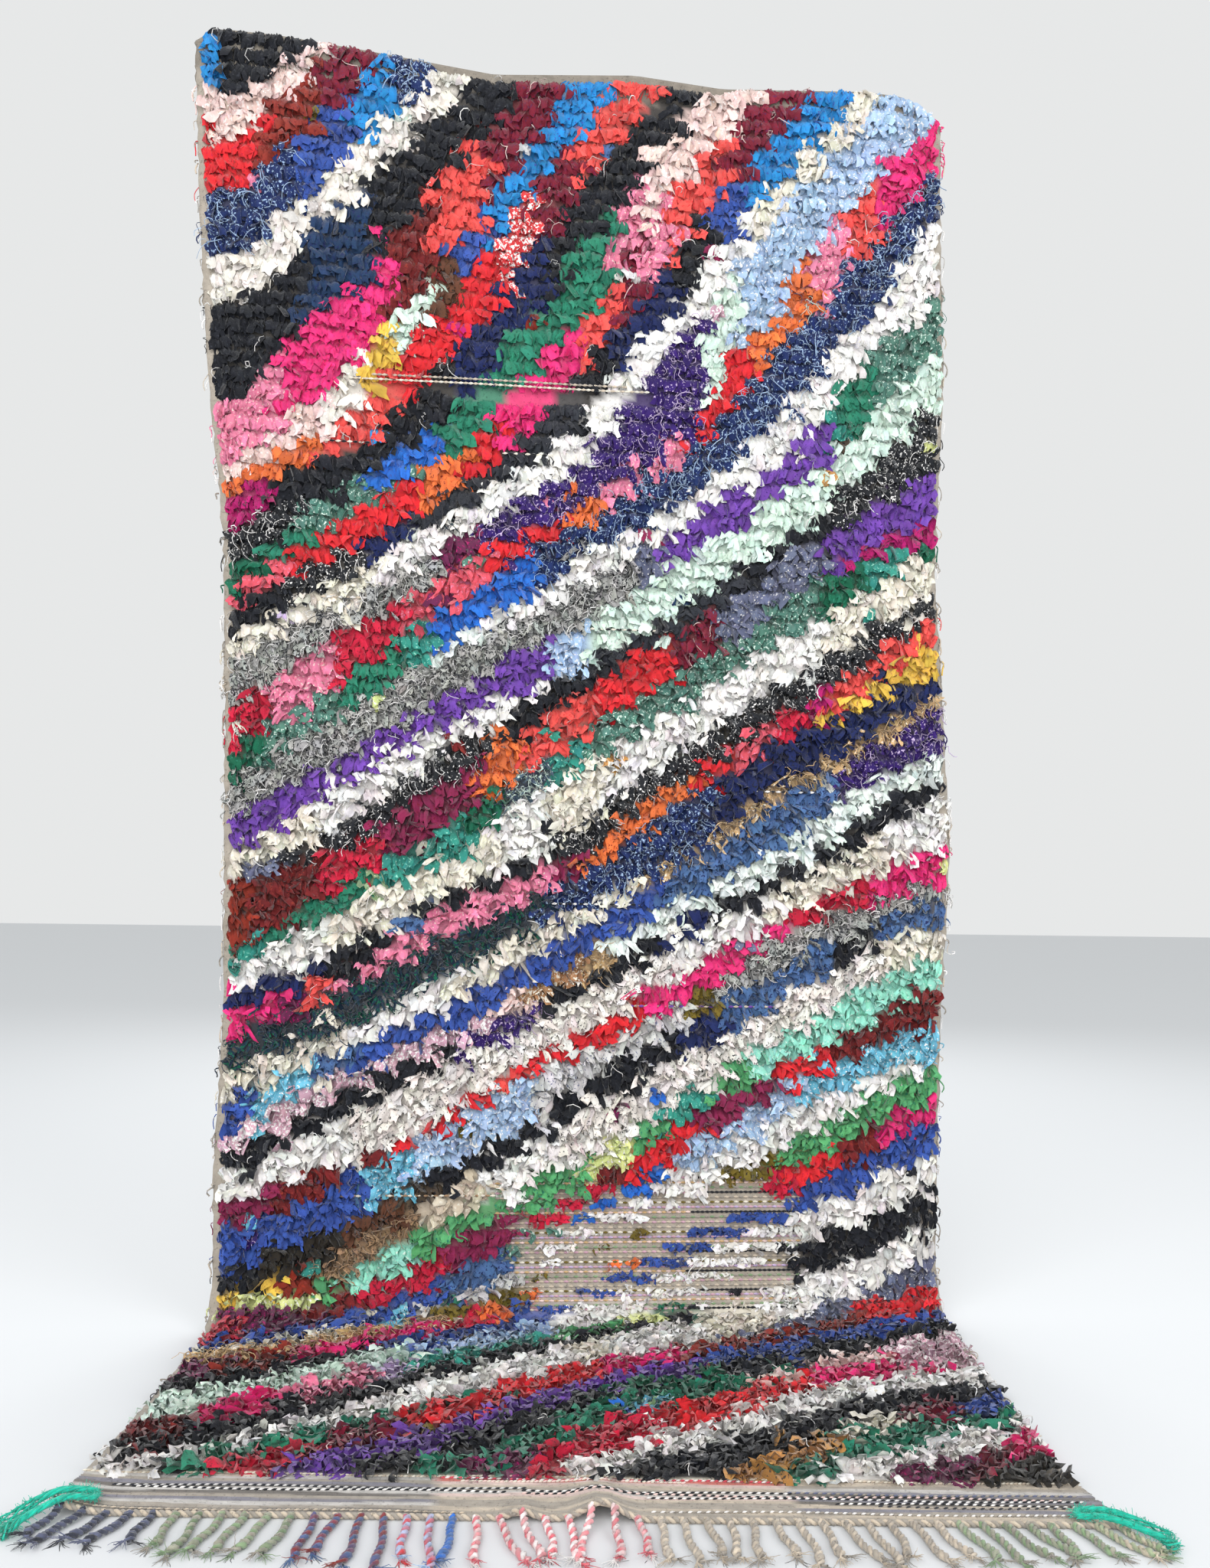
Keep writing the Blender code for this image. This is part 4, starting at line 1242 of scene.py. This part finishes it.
def curly_threads(place, out, down, path, colours):
    """Fine curly threads lying on the rags at the given knots."""
    count = len(path)
    share = np.linspace(0.0, 1.0, THREAD_STEPS)[:, None]
    reach = pile_at(place[:, 0], path)[:, None, None] * rng.uniform(0.75, 1.08, (count, 1, 1))
    line = place[:, None] + out[:, None] * reach * np.sin(0.35 + share * 2.2)
    line = line + down[:, None] * ((rng.uniform(-0.3, 1.0, (count, 1, 1)) * 0.040) * share)
    sideways = rng.normal(0, 0.014, (count, 1, 1)) * share
    size = rng.uniform(0.002, 0.006, (count, 1, 1))
    turns = rng.uniform(4, 11, (count, 1, 1))
    phase = rng.uniform(0, 6, (count, 1, 1))
    sideways = sideways + size * np.sin(share * turns + phase)
    line = line + np.array([1.0, 0.0, 0.0]) * sideways
    line = line + down[:, None] * (size * 0.8 * np.cos(share * turns + phase))
    thick = rng.uniform(0.0005, 0.0010, (count, 1)) + 0 * share[:, 0]
    points = tubes(line, thick, 3)
    shown = colours[:, None, None] + 0 * points
    return points.reshape(-1, 3), shown.reshape(-1, 3), grid_faces(count, THREAD_STEPS, 3, True)


def fleck_threads(material):
    """Curly threads over the flecked and spun stripes."""
    path, _, _, place, out, down, _, colour = KNOTS
    blocks = []
    for name, a_knot, thread in FLECK_THREADS:
        mine = np.flatnonzero(colour == COLOUR_NAMES.index(name))
        picked = rng.choice(mine, int(len(mine) * a_knot))
        tone = RAG_COLOURS[COLOUR_NAMES.index(thread)] * rng.normal(1.0, 0.12, (len(picked), 1))
        near = place[picked] + rng.normal(0, 0.005, (len(picked), 1)) * [1.0, 0.0, 0.0]
        blocks.append(curly_threads(near, out[picked], down[picked], path[picked], tone.clip(0, 0.9)))
    return join_blocks("fleck_threads", blocks, material)


def side_threads(material):
    """Selvedge loops and loose ends along the two sides."""
    across = rng.choice([0.0, 1.0], SIDE_THREADS)
    outward = np.where(across > 0.5, 1.0, -1.0)[:, None] * np.array([1.0, 0.0, 0.0])
    path = rng.uniform(-2.08, 0.62, SIDE_THREADS)
    place, out, down, height = cloth(path, across)
    share = np.linspace(0.0, 1.0, THREAD_STEPS)[:, None]
    reach = rng.uniform(0.001, 0.009, (SIDE_THREADS, 1, 1))
    line = place[:, None] + out[:, None] * WEAVE
    line = line + (outward * 0.7 + out * 0.5)[:, None] * (reach * np.sin(share * math.pi * 0.75))
    line = line + down[:, None] * (rng.uniform(0.005, 0.030, (SIDE_THREADS, 1, 1)) * share**1.6)
    wave = rng.normal(0, 0.002, (SIDE_THREADS, 1, 1)) * np.sin(share * 6.0)
    line = line + outward[:, None] * wave
    thick = rng.uniform(0.0006, 0.0016, (SIDE_THREADS, 1)) + 0 * share[:, 0]
    points = tubes(line, thick, 4)
    pale = rng.choice([COLOUR_NAMES.index(name) for name in ("beige", "taupe", "white")], SIDE_THREADS)
    tint = np.where(rng.random(SIDE_THREADS) < 0.6, pale, stripe_colour(place[:, 0], height))
    colours = RAG_COLOURS[tint][:, None, None] + 0 * points
    faces = grid_faces(SIDE_THREADS, THREAD_STEPS, 4, True)
    block = (points.reshape(-1, 3), colours.reshape(-1, 3), faces)
    return join_blocks("side_threads", [block], material)


# ---------------------------------------------------------------- stage, light and camera
def plain_material(name, colour, roughness):
    material = bpy.data.materials.new(name)
    material.use_nodes = True
    shader = material.node_tree.nodes["Principled BSDF"]
    shader.inputs["Base Color"].default_value = (*linear(colour), 1.0)
    shader.inputs["Roughness"].default_value = roughness
    return material


def add_floor():
    mesh = bpy.data.meshes.new("floor")
    half = 14.0
    corners = [(-half, -half, 0), (half, -half, 0), (half, half, 0), (-half, half, 0)]
    mesh.from_pydata(corners, [], [(0, 1, 2, 3)])
    mesh.materials.append(plain_material("floor_paint", (0.84, 0.85, 0.86), 0.75))
    floor = bpy.data.objects.new("floor", mesh)
    bpy.context.scene.collection.objects.link(floor)


def add_light(name, place, target, size, power):
    lamp = bpy.data.lights.new(name, "AREA")
    lamp.shape = "RECTANGLE"
    lamp.size, lamp.size_y = size
    lamp.energy = power
    light = bpy.data.objects.new(name, lamp)
    light.location = place
    light.rotation_euler = (Vector(target) - Vector(place)).to_track_quat("-Z", "Y").to_euler()
    bpy.context.scene.collection.objects.link(light)


def add_world():
    world = bpy.data.worlds.new("soft_room")
    world.use_nodes = True
    background = world.node_tree.nodes["Background"]
    background.inputs["Color"].default_value = (*linear((0.905, 0.910, 0.910)), 1.0)
    background.inputs["Strength"].default_value = 1.0
    bpy.context.scene.world = world


CAMERA_PLACE = (-0.2229, -2.4780, 0.820)  # local, like the cloth
CAMERA_TURN = math.atan(0.09)
CAMERA_ROLL = 0.0165
LENS, SENSOR = 32.0, 36.0
RISE = 0.048


def add_camera():
    camera = bpy.data.objects.new("camera", bpy.data.cameras.new("camera"))
    camera.data.sensor_fit = "VERTICAL"
    camera.data.sensor_height = SENSOR
    camera.data.sensor_width = SENSOR
    camera.data.lens = LENS
    camera.data.shift_y = RISE
    level = Matrix.Rotation(-CAMERA_TURN, 4, "Z") @ Matrix.Rotation(math.pi / 2, 4, "X")
    spot = Matrix.Translation(Vector(np.array(CAMERA_PLACE) + SHIFT))
    camera.matrix_world = spot @ level @ Matrix.Rotation(CAMERA_ROLL, 4, "Z")
    bpy.context.scene.collection.objects.link(camera)
    bpy.context.scene.camera = camera


# ---------------------------------------------------------------- making it all
rug_low, rug_high = (np.array(corner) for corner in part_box("rug"))
SHIFT = np.array([rug_low[0] - column(LYING_SIDES, 1).min(), 0.0, 0.0])
SHIFT[1] = rug_high[1] - (TURNED_GAP + WEAVE)

add_camera()
FABRICS = (  # name, depth of creases, depth of threads, threads' scale, roughness, sheen
    ("rag_cloth", 0.55, 0.35, 1400.0, 0.86, 0.25),
    ("ground_cloth", 0.35, 0.8, 420.0, 0.92, 0.20),
    ("spun_yarn", 0.25, 0.8, 900.0, 0.90, 0.35),
)
rag_cloth, ground_cloth, spun_yarn = (fabric_material(*fabric) for fabric in FABRICS)

ground = add_ground(ground_cloth)
pile = add_pile(rag_cloth)
worn = add_stitches("worn_rows", worn_stitches(), 0.0046, 0.0026, spun_yarn)
band = add_stitches("band_lines", band_stitches(), 0.0034, 0.0016, spun_yarn)
fringe = add_fringe(spun_yarn)
corners = [np.array([lying_x(1.0, side), -BEND_RADIUS - lying_run(side), 0.0]) for side in (0.0, 1.0)]
tie_left = add_tie("yarn_tie_left", corners[0], LEFT_TIE, spun_yarn)
tie_right = add_tie("yarn_tie_right", corners[1], RIGHT_TIE, spun_yarn)
flecks = fleck_threads(spun_yarn)
sides = side_threads(spun_yarn)

add_floor()
add_world()
LIGHTS = (  # name, place, what it points at, size, watts
    ("window", (-2.2, -3.8, 4.0), (0.0, 0.3, 1.0), (4.0, 4.0), 150.0),
    ("front", (-0.6, -4.6, 1.9), (0.0, 0.0, 0.9), (3.0, 2.0), 75.0),
    ("fill", (3.2, -3.2, 3.0), (0.0, 0.3, 1.0), (3.0, 3.0), 80.0),
    ("back_fill", (0.5, 3.6, 3.0), (0.0, 0.3, 1.0), (3.0, 3.0), 60.0),
)
for light in LIGHTS:
    add_light(*light)
bpy.context.scene.view_settings.view_transform = "Standard"
